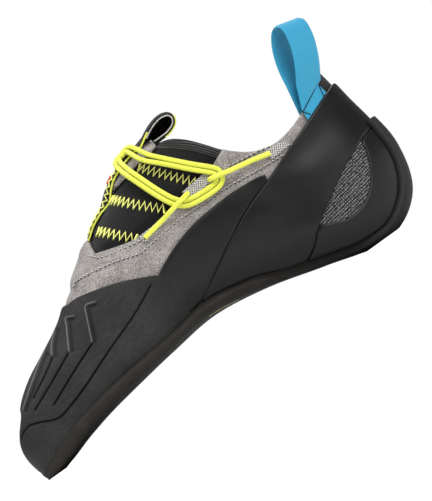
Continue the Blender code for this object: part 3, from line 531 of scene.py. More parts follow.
# From points of the side view to a line in it: the distance, signed to the line's left, how far along
# the line that is, and the line's length
def besideLine(x, z, line):
    line = np.asarray(line, float)
    best, side, along, run = np.full(x.shape, 1e9), np.zeros(x.shape), np.zeros(x.shape), 0.0
    for a, b in zip(line[:-1], line[1:]):
        way, length = b - a, np.hypot(*(b - a))
        t = np.clip(((x - a[0]) * way[0] + (z - a[1]) * way[1]) / length ** 2, 0, 1)
        away = np.hypot(x - a[0] - t * way[0], z - a[1] - t * way[1])
        nearer = away < best
        best, along = np.where(nearer, away, best), np.where(nearer, run + t * length, along)
        side = np.where(nearer, np.where(way[0] * (z - a[1]) > way[1] * (x - a[0]), 1, -1), side)
        run += length
    return best * side, along, run


def lineAway(x, z, line):
    return np.abs(besideLine(x, z, line)[0])


# Edges of the pieces in terms of the last
solePlaces = trace(seams["sole"], 90, rubberTop)
solePlaces = solePlaces[np.argsort(solePlaces[:, 0])]
throatPlaces = trace(seams["throat"], 60, 0.0)
throatS = throatPlaces[0, 0]
backRows = np.linspace(11, lastEnd, 80)
stripS, stripTopS = np.interp((51.0, 54.0), skin(backRows, 0.0)[:, 2], backRows)


def soleEdge(s):
    return np.interp(s, solePlaces[:, 0], -solePlaces[:, 1])


def throatEdge(s):
    return np.interp(s, throatPlaces[:, 0], -throatPlaces[:, 1])


# Upper: one suede shell, open underneath, at the throat and at the collar
upperSizes = dict(front=70, rear=120, side=46, band=14, vamp=34, hole=0.2, holeRows=(1.5, 10.16),
                  ripple=0.22, crease=0.9, creaseWide=2.2)


def holeEdge(s):  # half of the opening underneath, drawn in where the sole is narrow
    return upperSizes["hole"] * np.minimum(1, soleEdge(s) / (upperSizes["hole"] + 0.05))


rows = np.concatenate([np.linspace(0, throatS, upperSizes["front"]),
                       np.linspace(throatS, lastEnd, upperSizes["rear"])[1:]])
edge, throat, hole = soleEdge(rows), throatEdge(rows), holeEdge(rows)
stay = -creep(rows, -throat, layers["stayWide"])
half = np.concatenate([
    np.stack([0 * rows, hole * 0.5, hole], 1),
    between(hole[None], edge[None], 5)[1:].T,
    between(edge[None], stay[None], upperSizes["side"])[1:].T,
    between(stay[None], throat[None], upperSizes["band"])[1:].T,
    between(throat[None], np.ones((1, len(rows))), upperSizes["vamp"])[1:].T], 1)
upperP = np.concatenate([-half[:, :0:-1], half], 1)
upperS = np.repeat(rows[:, None], upperP.shape[1], 1)
halfCount = half.shape[1]
column = np.abs(np.arange(upperP.shape[1]) - (halfCount - 1))
cell = np.minimum(column[:-1], column[1:])
rowMid = (rows[:-1] + rows[1:]) / 2
upperMask = np.ones((len(rows) - 1, len(cell)), bool)
holeStart, holeEnd = upperSizes["holeRows"]
upperMask[np.ix_((rowMid > holeStart) & (rowMid < holeEnd), cell < 2)] = False
upperMask[np.ix_(rowMid > throatS, cell >= halfCount - upperSizes["vamp"])] = False
intoBand = (np.abs(upperP) - stay[:, None]) / (creep(upperS, np.abs(upperP), 1.0) - np.abs(upperP))
beforeThroat = (upperS - throatS) * stride(np.maximum(upperS, 0.1), upperP)
onBand = ease(intoBand / 1.2 + 0.5) * ease((beforeThroat + layers["stayWide"] + 0.6) / 1.2)
upperX, _, upperZ = np.moveaxis(skin(upperS, upperP), -1, 0)
ripple = upperSizes["ripple"] * np.sin(upperX * 0.31 + upperZ * 0.17) * np.sin(upperZ * 0.23 + 1.1)
fromCrease = lineAway(upperX, upperZ, ((-58.0, 74.0), (-49.0, 66.5)))
vampCrease = -upperSizes["crease"] * np.exp(-(fromCrease / upperSizes["creaseWide"]) ** 2)
upperLift = layers["stayStep"] * onBand + ripple + vampCrease
thin = np.clip(1 - upperS, 0, 1) * np.clip(1 - np.abs(upperP) / 0.3, 0, 1)  # under the nose of the toe
upperLow = -layers["wall"] * (1 - 0.85 * thin)
patch("upper_suede", upperS, upperP, upperLow, upperLift, (suede, lining), "suede", ("upper",),
      round=(0.8, 0.5), mask=upperMask)

# Insole board, flush in the open underside
boardSizes = dict(rows=70, columns=17, gap=0.2)
boardRows = np.linspace(holeStart + 0.12, holeEnd - 0.04, boardSizes["rows"])
boardEdge = -creep(boardRows, -holeEdge(boardRows), boardSizes["gap"])
boardP = np.linspace(-1, 1, boardSizes["columns"])[None, :] * boardEdge[:, None]
boardS = np.repeat(boardRows[:, None], boardSizes["columns"], 1)
patch("insole_board", boardS, boardP, -layers["wall"], 0.0, (lining,), "board", ("insole",))
print("upper and insole")

# Outsole: toe to heel and up the back of the heel over the band, worn flat where it stands
soleSizes = dict(rows=190, side=34, strip=14, edgeRound=1.0, toeRound=4.5)
soleRows = np.concatenate([np.linspace(0, stripS - 0.2, soleSizes["rows"]), [stripS - 0.12],
                           np.linspace(stripS - 0.05, stripTopS, soleSizes["strip"])])
rim = soleEdge(soleRows)
soleHalf = closeEnds(2 * soleSizes["side"] - 1, 0.75)[soleSizes["side"] - 1:] * 2 - 1
soleP = np.concatenate([-soleHalf[:0:-1], soleHalf])[None, :] * rim[:, None]
soleS = np.repeat(soleRows[:, None], soleP.shape[1], 1)
fromRim = (rim[:, None] - np.abs(soleP)) / np.abs(creep(soleS, soleP, 1.0) - soleP)
fromRim = np.minimum(fromRim, (stripTopS - soleS) * stride(np.maximum(soleS, 0.1), soleP))
# moulded into the toe rubber in front, a cut edge from the ball to the heel
blend = ease((soleS - 1.5) / 3.5)
reach = soleSizes["toeRound"] + (soleSizes["edgeRound"] - soleSizes["toeRound"]) * blend
start = rubberTop + 0.05 - blend * 0.5
near = np.clip(1 - fromRim / reach, 0, 1)
soleTop = layers["gap"] + layers["sole"]
profile = (1 - blend) * ease(fromRim / reach) + blend * np.sqrt(1 - near ** 2)
solePoints = lifted(soleS, soleP, start + (soleTop - start) * profile)
solePoints[..., 2] = np.maximum(solePoints[..., 2], layers["ground"])
soleLow = lifted(soleS, soleP, np.where(soleS > stripS - 0.15, rubberTop + 0.2, 0.2))
roundHeel = ease((soleS - 9.5) / 1.5)
soleEdgeHighlight = 0.1 * np.exp(-((fromRim - 0.5) / 0.35) ** 2) * roundHeel  # a painted highlight along the rim of the heel and the strip
soleMarks = dict(buff=1 - ease((soleS - 6.5) / 3.5), edge=soleEdgeHighlight)
gridPiece("outsole_rubber", solePoints, soleLow, (soleRubber,), "sole_rubber", ("outsole",),
          round=(0.0, 0.0), marks=soleMarks)

# Toe rubber: one moulded cap with stepped hooks and a long sinuous groove on each side, in x and z
toeSizes = dict(run=170, share=120, cut=0.95, cutHalf=0.65, step=0.75, stepWide=3.6, lip=0.12, lipHalf=0.9,
                fade=1.6, lap=3.6, buffed=26.0, rim=0.9)
toeCuts = (
    ((-80.9, 49.6), (-89.7, 44.3), (-100.3, 39.0)),
    ((-73.0, 46.4), (-87.2, 40.0), (-103.0, 33.5)),
    ((-60.2, 43.3), (-74.7, 37.8), (-93.1, 30.1)),
    ((-20.4, 49.8), (-35.4, 42.7), (-56.0, 35.4), (-73.9, 28.6), (-87.2, 24.6), (-95.6, 23.2),
     (-103.9, 26.7), (-110.1, 28.8), (-115.5, 27.7), (-117.6, 26.1)))
toeHooks = (
    ((-83.1, 54.3), (-87.1, 52.2), (-97.0, 45.2), (-108.3, 37.3)),
    ((-72.6, 60.3), (-77.5, 55.2), (-80.6, 50.0)),
    ((-60.4, 60.1), (-64.0, 61.5), (-66.1, 57.4), (-71.9, 46.8)),
    ((-47.4, 59.4), (-52.2, 60.4), (-55.2, 54.5), (-59.9, 43.7)))


def longer(line, more):  # a line with its ends run on
    before, after = unit(line[1] - line[0]) * more, unit(line[-1] - line[-2]) * more
    return np.vstack([line[0] - before, line, line[-1] + after])


def reliefLine(x, z, rows, count):  # signed distance to a line of the relief, and its depth
    away, along, whole = besideLine(x, z, longer(smoothLine(rows, count), toeSizes["fade"]))
    return away, ease(along / toeSizes["fade"]) * ease((whole - along) / toeSizes["fade"])


# Distance and depth of the nearest line. Its sign is turned at every other line, so that the sides of two
# neighbours have one sign and no false line shows where they meet
def nearestLine(lines):
    best, depth = np.full(lines[0][0].shape, 50.0), np.zeros(lines[0][0].shape)
    for n, (away, deep) in enumerate(lines):
        nearer = np.abs(away) < np.abs(best)
        best, depth = np.where(nearer, away * (-1) ** n, best), np.where(nearer, deep, depth)
    return best, depth


def toeRelief(points):  # height of the moulded relief, and the marks that the rubber reads
    x, z = points[..., 0], points[..., 2]
    cutLines = [reliefLine(x, z, rows, 50) for rows in toeCuts]
    hookLines = [reliefLine(x, z, rows, 40) for rows in toeHooks]
    relief, marks = np.zeros(x.shape), dict(recessShade=np.zeros(x.shape))
    for away, deep in cutLines:
        relief -= toeSizes["cut"] * deep * np.exp(-(away / toeSizes["cutHalf"]) ** 2)
    for away, deep in hookLines:
        relief += toeSizes["lip"] * deep * np.exp(-(away / toeSizes["lipHalf"]) ** 2)
        within = ease(away / 1.3) * (1 - ease((away - 1.0) / toeSizes["stepWide"]))
        relief -= toeSizes["step"] * deep * within
        # painted shade, near black, in the recess to the right of each hook's lip
        paintedRecessShade = 0.75 * deep * ease((away - 0.5) / 0.7) * (1 - ease((away - 1.2) / 2.4))
        marks["recessShade"] = np.maximum(marks["recessShade"], paintedRecessShade)
    marks["lip"], marks["lipDeep"] = nearestLine(hookLines)
    marks["cut"], marks["cutDeep"] = nearestLine(cutLines)
    return relief, marks


toePlaces = trace(seams["toe"], 90, rubberTop, 0.3)
toeRest = np.interp(-64.6, sectionAt(np.linspace(3, 5, 90))[2], np.linspace(3, 5, 90))
toeRim = soleEdge(toePlaces[:, 0])
toeShare = np.concatenate([(-toePlaces[:, 1] - toeRim) / (1 - toeRim), [1.0]])
share = closeEnds(toeSizes["share"], 0.35)
toeReach = np.interp(share, np.maximum.accumulate(toeShare), np.concatenate([toePlaces[:, 0], [toeRest]]))
toeS = (np.linspace(0, 1, toeSizes["run"]) ** 1.15)[:, None] * toeReach[None, :]
toeFrom = -creep(toeS, -soleEdge(toeS), -0.1)
toeP = toeFrom + share[None, :] * (1 - toeFrom)
toeS = np.concatenate([toeS, toeS[:, -2::-1]], 1)
toeP = np.concatenate([-toeP, toeP[:, -2::-1]], 1)
toeTop = lifted(toeS, toeP, np.full(toeS.shape, rubberTop))
relief, toeMarks = toeRelief(toeTop)
fromRand = lineAway(toeTop[..., 0], toeTop[..., 2], smoothLine(seams["toe"][:4], 40))
onRand = ease(1 - fromRand / toeSizes["lap"]) * ease((52.0 - toeTop[..., 2]) / 4.0)  # feathered there
toeMarks["buff"] = ease(fromRand / toeSizes["buffed"])
toeLow = layers["gap"] + (layers["rubber"] - 0.06) * onRand
toeRound = 0.02 + toeSizes["rim"] * ease((toeTop[..., 2] - 46.0) / 7.0)
gridPiece("toe_rubber_cap", toeTop + outward(toeS, toeP) * relief[..., None], lifted(toeS, toeP, toeLow),
          (toeRubber,), "rand_rubber", ("toe_rubber",), round=(toeRound, 0.0), marks=toeMarks)
print("outsole and toe rubber")


def bothSides(name, places, low, high, looks, slot, node, **more):
    for side, sign in (("inner", 1), ("outer", -1)):
        s, p = places[..., 0], sign * places[..., 1]
        patch(name + "_" + side, s, p, low, high, looks, slot, (node + "_" + side,), **more)


def alongSole(start, end, count, gap=0.1):
    s = np.linspace(start, end, count)
    return np.stack([s, creep(s, -soleEdge(s), -gap)], 1)


# Rand between the toe rubber and the band
randSizes = dict(along=110, up=40, under=3.0, dip=0.1)
randLeft = sideLine(seams["toe"][:4], randSizes["up"], randSizes["under"])
randRoof = sideLine(seams["rand"], randSizes["along"])
randFoot = ((-10.0, 28.0), (-4.6, 28.6)) + seams["bandFront"][1:3] + ((57.0, 58.7),)
randFloor = sideLine(randFoot, randSizes["along"], -0.1)
randLeft[0], randLeft[-1] = randFloor[0], randRoof[0]
randGrid = fill(randLeft, between(randFloor[-1], randRoof[-1], randSizes["up"]), randFloor, randRoof)
randPlaces = locate(randGrid.reshape(-1, 2), rubberTop).reshape(*randGrid.shape)
underToe = lineAway(randGrid[..., 0], randGrid[..., 1], randLeft)
randTop = rubberTop - randSizes["dip"] * (1 - ease(underToe / (2 * randSizes["under"])))
bothSides("rand_rubber", randPlaces, layers["gap"], randTop, (randRubber,), "rand_rubber", "rand")

# Tension band: up from the sole under the arch and round the back of the heel
bandSizes = dict(along=110, back=26, across=40, proud=0.15, dents=0.28)
backZ = lifted(backRows, 0 * backRows, rubberTop + 0 * backRows)[:, 2]
frontEdge = trace(seams["bandFront"], bandSizes["along"], rubberTop, -0.05)
rearEdge = trace(seams["bandRear"], bandSizes["along"], rubberTop, 0.1)
frontEnd, rearEnd = (np.array([np.interp(z, backZ, backRows), 0.0]) for z in (79.4, 50.6))
frontEdge = np.concatenate([frontEdge, between(frontEdge[-1], frontEnd, bandSizes["back"])[1:]])
rearEdge = np.concatenate([rearEdge, between(rearEdge[-1], rearEnd, bandSizes["back"])[1:]])
bandFloor = alongSole(frontEdge[0, 0], rearEdge[0, 0], bandSizes["across"])
frontEdge[0], rearEdge[0] = bandFloor[0], bandFloor[-1]
bandPlaces = fill(frontEdge, rearEdge, bandFloor, between(frontEnd, rearEnd, bandSizes["across"]))
bandS = np.concatenate([bandPlaces[..., 0], bandPlaces[-2::-1, :, 0]])
bandP = np.concatenate([bandPlaces[..., 1], -bandPlaces[-2::-1, :, 1]])
bandSkin = skin(bandS, bandP)
bandSlope = bandSkin[..., 0] * 0.62 - bandSkin[..., 2] * 0.78
bandDents = np.sin(bandSlope * 0.22) * np.sin(bandSkin[..., 0] * 0.09 + bandSkin[..., 2] * 0.13 + 0.6)
bandTop = rubberTop + bandSizes["proud"] + bandSizes["dents"] * bandDents
patch("tension_band_rubber", bandS, bandP, layers["gap"], bandTop, (randRubber,), "rand_rubber",
      ("tension_band",), round=(0.6, 0.0))

# Heel rand round the window, and the woven mesh in it
heelSizes = dict(along=90, up=26, meshAlong=60, meshUp=30)
heelRoof = trace(((50.2, 13.4),) + seams["window"] + ((115.2, 49.5),), heelSizes["along"], rubberTop, 0.45)
heelFrom, heelTo = locate(((50.6, 13.0), (115.6, 49.2)), rubberTop)[:, 0]
heelFloor = alongSole(heelFrom, heelTo, heelSizes["along"])
heelPlaces = fill(between(heelFloor[0], heelRoof[0], heelSizes["up"]),
                  between(heelFloor[-1], heelRoof[-1], heelSizes["up"]), heelFloor, heelRoof)
bothSides("heel_rand_rubber", heelPlaces, layers["gap"], rubberTop, (randRubber,), "rand_rubber",
          "heel_rand")
meshFloor = trace(seams["window"][1:10], heelSizes["meshAlong"], rubberTop, -0.3)
meshRoof = trace(seams["bandRear"][2:5], heelSizes["meshAlong"], rubberTop, 0.3)
meshPlaces = fill(between(meshFloor[0], meshRoof[0], heelSizes["meshUp"]),
                  between(meshFloor[-1], meshRoof[-1], heelSizes["meshUp"]), meshFloor, meshRoof)
meshUv = lifted(meshPlaces[..., 0], meshPlaces[..., 1], np.full(meshPlaces.shape[:2], 1.0))[..., [0, 2]]
bothSides("heel_mesh_cloth", meshPlaces, 0.2, 1.0, (meshCloth,), "mesh_cloth", "heel_mesh", round=(0.1, 0.0),
          uv=meshUv)
print("rands, band and heel mesh")

# Tongue and the ribbed elastic at its top, tucked under the throat edge
tongueSizes = dict(columns=60, rows=100, ribs=10, ribRows=110, ribHigh=0.6, thick=1.2, swell=1.3, drawn=3.2)


def tonguePlaces(start, end, count):
    s = start + (end - start) * np.linspace(0, 1, count)[:, None]
    tuck = -creep(s, -throatEdge(s), layers["tuck"])
    p = tuck + tongueShare * (1 - tuck)
    inset = (p - throatEdge(s)) / (creep(s, p, 1.0) - p)
    front = (s - throatS) * stride(np.maximum(s, 0.1), p)
    swell = tongueSizes["swell"] * ease((inset - 1.5) / 5.5) * ease((front - 1.5) / 5.5)
    top = swell - layers["wall"] - layers["gap"]
    s, top = (np.concatenate([grid, grid[:, -2::-1]], 1) for grid in (s, top))
    return s, np.concatenate([-p, p[:, -2::-1]], 1), top


tongueShare = np.linspace(0, 1, tongueSizes["columns"])[None, :]
ribFrom = 12.7 - 2.5 * np.clip((tongueShare - 0.15) / 0.85, 0, 1)
tongueS, tongueP, tongueTop = tonguePlaces(throatS - 0.3 + 0 * ribFrom, ribFrom, tongueSizes["rows"])
tongueUv = lengths(skin(tongueS, tongueP))
patch("tongue_elastic", tongueS, tongueP, tongueTop - tongueSizes["thick"], tongueTop, (elastic, lining),
      "elastic", ("tongue",), round=(0.3, 0.3), uv=tongueUv)
ribStart = ribFrom + 0.3 / stride(ribFrom, -np.maximum(tongueShare, 0.75))
ribS, ribP, ribTop = tonguePlaces(ribStart, lastEnd + 0 * ribFrom, tongueSizes["ribRows"])
ribT = np.linspace(0, 1, tongueSizes["ribRows"])[:, None]
ribWave = np.abs(np.sin(np.pi * tongueSizes["ribs"] * ribT))
collarThroat = throatEdge(lastEnd)
throatCorner, ridgeEnd = skin(lastEnd, -collarThroat), skin(lastEnd, -1.0)
upright = unit(np.array([ridgeEnd[2] - throatCorner[2], 0.0, throatCorner[0] - ridgeEnd[0]]))
upward = np.clip((np.abs(ribP[-1]) - collarThroat) / (1 - collarThroat), 0, 1)
sag = np.maximum((throatCorner - skin(lastEnd, ribP[-1])) @ upright, 0) * (upward > 0)
sag = sag + tongueSizes["drawn"] * upward * (1 - upward)
drawn = (ribT ** 3 * sag)[..., None] * upright  # its top edge is drawn straight
gridPiece("collar_rib_elastic", lifted(ribS, ribP, ribTop + tongueSizes["ribHigh"] * ribWave) + drawn,
          lifted(ribS, ribP, ribTop - tongueSizes["thick"]) + drawn, (ribElastic, lining), "elastic",
          ("collar_elastic",), round=(0.4, 0.3), uv=lengths(skin(ribS, ribP)))

# Suede saddle under the strap
saddleSizes = dict(half=14.5, thick=1.8, x=(-9.0, 22.6), rows=50, columns=50, gap=0.3)
saddleEnds = (0.5, 0.84, 0.97, 1, 1, 1, 0.97, 0.84, 0.45)  # shares of its half width, front to back
ridgeRows = np.linspace(5, lastEnd, 300)
ridgeX = sectionAt(ridgeRows)[2]


def ridgeS(x):
    return np.interp(x, ridgeX, ridgeRows)


def halfWay(s, half):  # the place at a distance to the side of the ridge
    share = np.linspace(0.55, 1, 91)
    spread = np.abs(skin(s, -share)[:, 1] - sectionAt(s)[7])
    return np.interp(half, spread[::-1], share[::-1])


def ridgeStrip(s, halves, columns):
    reach = np.linspace(-1, 1, columns)
    p = [np.where(reach < 0, -1, 1) * halfWay(one, np.abs(reach) * half) for one, half in zip(s, halves)]
    return np.repeat(s[:, None], columns, 1), np.stack(p)


saddleLow = -layers["wall"] + tongueSizes["swell"] + saddleSizes["gap"]
saddleX = np.linspace(*saddleSizes["x"], saddleSizes["rows"])
saddleHalf = saddleSizes["half"] * np.interp(saddleX, np.linspace(*saddleSizes["x"], 9), saddleEnds)
saddleS, saddleP = ridgeStrip(ridgeS(saddleX), saddleHalf, saddleSizes["columns"])
patch("strap_saddle_suede", saddleS, saddleP, saddleLow, saddleLow + saddleSizes["thick"], (suede,), "suede",
      ("strap_saddle",), round=(0.9, 0.2))


# Webbing of even thickness about its middle face
def ribbonFaces(middle, thick):
    normal = unit(np.cross(np.gradient(middle, axis=0), np.gradient(middle, axis=1)))
    return middle + normal * thick / 2, middle - normal * thick / 2


def tube(points, radius, sides=10, closed=False):
    steps = np.roll(points, -1, 0) - np.roll(points, 1, 0) if closed else np.gradient(points, axis=0)
    way = unit(steps)
    side = np.zeros_like(points)
    side[0] = unit(np.cross(way[0], (0.31, 0.2, 0.93)))
    for n in range(1, len(points)):
        side[n] = unit(side[n - 1] - way[n] * (side[n - 1] @ way[n]))
    other = np.cross(way, side)
    angle = np.linspace(0, 2 * np.pi, sides, endpoint=False)[None, :, None]
    return points[:, None] + radius * (np.cos(angle) * side[:, None] + np.sin(angle) * other[:, None])


def tubePiece(name, lines, radius, look, replaced=(), closed=False, sides=10):
    points, faces, uv = [], [], []
    for line in lines:
        ring = tube(line, radius, sides, closed)
        base, count = len(points), len(line)
        run = np.concatenate([[0], np.cumsum(np.linalg.norm(np.diff(line, axis=0), axis=1))])
        points += ring.reshape(-1, 3).tolist()
        uv += [(run[n], k * 2 * np.pi * radius / sides) for n in range(count) for k in range(sides)]
        for n in range(count if closed else count - 1):
            a, b = base + n * sides, base + (n + 1) % count * sides
            faces += [(a + k, a + (k + 1) % sides, b + (k + 1) % sides, b + k) for k in range(sides)]
        if not closed:
            faces += [tuple(range(base, base + sides))[::-1], tuple(range(len(points) - sides, len(points)))]
    return makePiece(name, points, faces, (look,), replaced, uv)


# Strap along the ridge, folded into a tab past the saddle, with yellow edging as far as the tab
strapSizes = dict(x=(-33.2, 14.5), rows=90, half=9.5, thick=1.7, across=21, tabSteps=70, edging=0.5,
                  pinchBy=8.5, droop=0.8, dip=2.2, tabLine=0.36, tabEdging=0.3)
tabPath = ((19.0, 113.1), (23.8, 115.5), (28.5, 117.0), (32.8, 117.3), (36.3, 115.9), (37.4, 113.0),
           (35.6, 109.9), (31.0, 107.9), (26.8, 107.5), (21.6, 107.4))  # its end is tucked in at the saddle
strapX = np.linspace(*strapSizes["x"], strapSizes["rows"])
strapHalf = np.full(strapSizes["rows"], strapSizes["half"])
strapS, strapP = ridgeStrip(ridgeS(strapX), strapHalf, strapSizes["across"])
strapRidge = sectionAt(ridgeS(strapX))[2]
onSaddle, atFront = ease((strapRidge + 21.0) / 12.0), 1 - ease((strapRidge + 33.2) / 8.0)
strapRise = saddleLow - saddleSizes["gap"] + strapSizes["thick"] / 2 - atFront
strapRise = strapRise + onSaddle * (saddleSizes["thick"] + saddleSizes["gap"] + layers["gap"])
droop = strapSizes["droop"] * 4 * onSaddle * (1 - onSaddle)
droop = droop + strapSizes["dip"] * np.exp(-((strapRidge + 12.0) / 5.0) ** 2)
strapLift = strapRise[:, None] - droop[:, None] * np.abs(np.linspace(-1, 1, strapSizes["across"])) ** 2.5
strapLow = lifted(strapS, strapP, strapLift)
crown = strapLow[-1, :, 2] - strapLow[-1, strapSizes["across"] // 2, 2]
tabLine, tabT = smoothLine(tabPath, strapSizes["tabSteps"]), np.linspace(0, 1, strapSizes["tabSteps"])
tabY = np.repeat(strapLow[-1:, :, 1], strapSizes["tabSteps"], 0)
tabZ = tabLine[:, 1:] + crown[None, :] * 0.7 * (1 - tabT[:, None])
# the far edges of the tab's two leaves are sewn together
leafMiddle = np.interp(tabLine[:, 0], (19.0, 37.0), (110.0, 113.0))[:, None]
upperLeaf = np.arange(strapSizes["tabSteps"]) < strapSizes["tabSteps"] * 0.55
meet = leafMiddle + np.where(upperLeaf, 0.95, -0.95)[:, None]
pinch = ease(tabY / strapSizes["pinchBy"]) * ease((tabLine[:, :1] - 15.0) / 6.0)
tab = np.stack([np.repeat(tabLine[:, :1], strapSizes["across"], 1), tabY, tabZ + (meet - tabZ) * pinch], -1)
strapMiddle = np.concatenate([strapLow, tab])[:, ::-1]
strapUnder, strapTop = ribbonFaces(strapMiddle, strapSizes["thick"])
gridPiece("strap_webbing", strapTop, strapUnder, (strapWeb,), "strap_webbing", ("strap",), round=(0.6, 0.6),
          uv=lengths(strapMiddle))
strapEdges = strapTop * 0.6 + strapUnder * 0.4
yellowEnd = len(strapLow) + 8
tubePiece("strap_edging", [strapEdges[:yellowEnd, column] for column in (0, -1)], strapSizes["edging"],
          yellowCord, sides=8)
# painted highlights: thin grey lines along the inner edges of the tab's two leaves, drawn in grey thread
tabEdgeHighlights = (strapTop * 0.1 + strapUnder * 0.9)[len(strapLow) + 2:-2]
tubePiece("tab_edge_highlights", [tabEdgeHighlights[:, column] for column in (0, -1)], strapSizes["tabLine"], greyThreadAndTabHighlight,
          sides=6)
tubePiece("tab_edging", [strapTop[-34:-12, column] for column in (0, -1)], strapSizes["tabEdging"],
          yellowCord, sides=6)
print("tongue, saddle and strap")

# Cords: two rings a side that turn on the strap, held by a hook in front and one behind (x, z, lift)
cordSizes = dict(radius=1.3, apart=1.42, spread=0.55, ringPoints=150, hookPoints=60)
ringSide = ((2.4, 104.0, 5.5), (5.2, 95.7, 4.6), (9.0, 85.4, 3.3), (13.0, 77.2, 3.0), (17.2, 73.0, 3.0),
            (22.0, 71.6, 3.0), (27.0, 71.1, 3.0), (31.5, 70.9, 3.0), (35.6, 71.3, 3.0), (38.4, 73.2, 3.0),
            (39.0, 76.4, 2.9), (36.6, 79.7, 2.9), (30.3, 86.1, 3.5), (20.7, 96.5, 4.9), (14.1, 104.0, 5.6))
ringTurn = ((9.8, -10.2, 5.5), (5.6, -8.4, 5.5), (1.6, -9.8, 5.5))
hooks = dict(
    front=((-9.0, 70.6, 2.5), (-2.0, 71.8, 2.6), (4.0, 72.8, 3.6), (8.0, 73.6, 5.6), (11.6, 74.3, 6.5),
           (15.2, 75.0, 6.6), (18.2, 75.6, 6.4), (20.1, 76.0, 5.3), (21.0, 76.2, 3.6)),
    rear=((66.0, 68.6, 2.5), (57.0, 70.8, 2.6), (50.0, 72.2, 3.6), (45.6, 73.0, 5.4), (42.0, 73.8, 6.4),
          (38.4, 74.6, 6.6), (36.0, 75.1, 6.4), (34.5, 75.4, 5.3), (33.8, 75.5, 3.6)))


def roundedRing(values, count):
    padded = np.vstack([values[-1], values, values[0], values[1]])
    steps = np.linspace(0, 1, 30, endpoint=False)[:, None]
    dense = np.concatenate([cubic(*padded[k:k + 4], steps) for k in range(len(values))])
    length = np.concatenate([[0], np.cumsum(np.linalg.norm(np.diff(dense[:, :3], axis=0), axis=1))])
    want = np.linspace(0, length[-1], count, endpoint=False)
    return np.stack([np.interp(want, length, dense[:, k]) for k in range(dense.shape[1])], 1)


sideRows, turnRows = np.array(ringSide), np.array(ringTurn)
ringPlaces = np.concatenate([locate(sideRows[:, :2], sideRows[:, 2]),
                             locate(turnRows[:, :2], turnRows[:, 2], (0, 1), (0.6, 0.999))])
ringLift = np.concatenate([sideRows[:, 2], turnRows[:, 2]])
for side, sign in (("inner", 1), ("outer", -1)):
    s, p = ringPlaces[:, 0], sign * ringPlaces[:, 1]
    ring = roundedRing(np.concatenate([lifted(s, p, ringLift), outward(s, p)], 1), cordSizes["ringPoints"])
    way = np.roll(ring[:, :3], -1, 0) - np.roll(ring[:, :3], 1, 0)
    beside = unit(np.cross(way, ring[:, 3:]))
    share = np.linspace(0, 1, len(ring), endpoint=False)
    apart = cordSizes["apart"] + cordSizes["spread"] * np.exp(-((share - 0.75) / 0.09) ** 2)
    for label, reach in (("a", -apart), ("b", apart)):
        tubePiece("lace_" + side + "_" + label, [ring[:, :3] + beside * reach[:, None]], cordSizes["radius"],
                  yellowCord, ("lace_ring_" + side + "_" + label,), closed=True)
    for label, table in hooks.items():
        table = np.array(table)
        places = locate(table[:, :2], table[:, 2])
        line = smoothLine(lifted(places[:, 0], sign * places[:, 1], table[:, 2]), cordSizes["hookPoints"])
        tubePiece("lace_hook_" + side + "_" + label, [line], cordSizes["radius"], yellowCord,
                  ("lace_anchor_" + side + "_" + label,))

# Pull loop over the collar edge of the inner side
loopSizes = dict(wide=17.2, thick=1.3, across=17, rise=60, at=97.6, lean=0.83,
                 up=(0.354, 0.0, 0.934), slant=0.12)
loopPath = ((3.4, 8.0), (6.2, 18.3), (6.8, 27.6), (5.4, 34.8), (3.0, 38.7), (0.0, 39.9))
loopAcross = np.linspace(-0.5, 0.5, loopSizes["across"]) * loopSizes["wide"]
collarP = np.linspace(-0.5, -0.02, 120)
loopP = np.interp(loopSizes["at"] + loopSizes["lean"] * loopAcross, skin(lastEnd, collarP)[:, 0], collarP)
heelEdge = frontEdge[frontEdge[:, 0] > 12.6][::-1]
footS = np.interp(-loopP, -heelEdge[:, 1], heelEdge[:, 0])
outside = 2 * layers["gap"] + loopSizes["thick"] / 2
inside = -layers["wall"] - 2.5 * layers["gap"] - loopSizes["thick"] / 2
footOut = np.stack([lifted(footS + (lastEnd - footS) * t, loopP, outside + 0 * loopP)
                    for t in np.linspace(0, 1, 12)])
footIn = np.stack([lifted(lastEnd - drop + 0 * loopP, loopP, inside + 0 * loopP)
                   for drop in np.linspace(0, 0.32, 8)])
middle = loopSizes["across"] // 2
centre = lifted(lastEnd, loopP[middle], np.array(-layers["wall"] / 2))
up = unit(np.array(loopSizes["up"]))
across = footOut[-1, -1] - footOut[-1, 0]
across = unit(across - up * (across @ up))
away = np.cross(across, up)
away = away if away @ outward(lastEnd, loopP[middle]) > 0 else -away
rise = smoothLine(loopPath, loopSizes["rise"])
path = np.concatenate([rise, rise[-2::-1] * (-1, 1)])
slant = loopSizes["slant"] * path[:, 1, None, None] / loopPath[-1][1]
free = centre + path[:, 0, None, None] * away + path[:, 1, None, None] * up
free = free + loopAcross[None, :, None] * (across + slant * up)


def joinSmooth(a, b, count):  # a soft run of webbing from one stretch to the next
    t = np.linspace(0, 1, count + 2)[1:-1, None, None]
    return cubic(2 * a[-1] - b[0], a[-1], b[0], 2 * b[0] - a[-1], t)


loopRuns = (footOut, joinSmooth(footOut, free, 10), free, joinSmooth(free, footIn, 10), footIn)
loopMiddle = np.concatenate(loopRuns)[:, ::-1]
loopTop, loopUnder = ribbonFaces(loopMiddle, loopSizes["thick"])
gridPiece("pull_loop_webbing", loopTop, loopUnder, (blueWeb,), "blue_webbing", ("pull_loop",),
          round=(0.5, 0.5), uv=lengths(loopMiddle))
print("cords and pull loop")


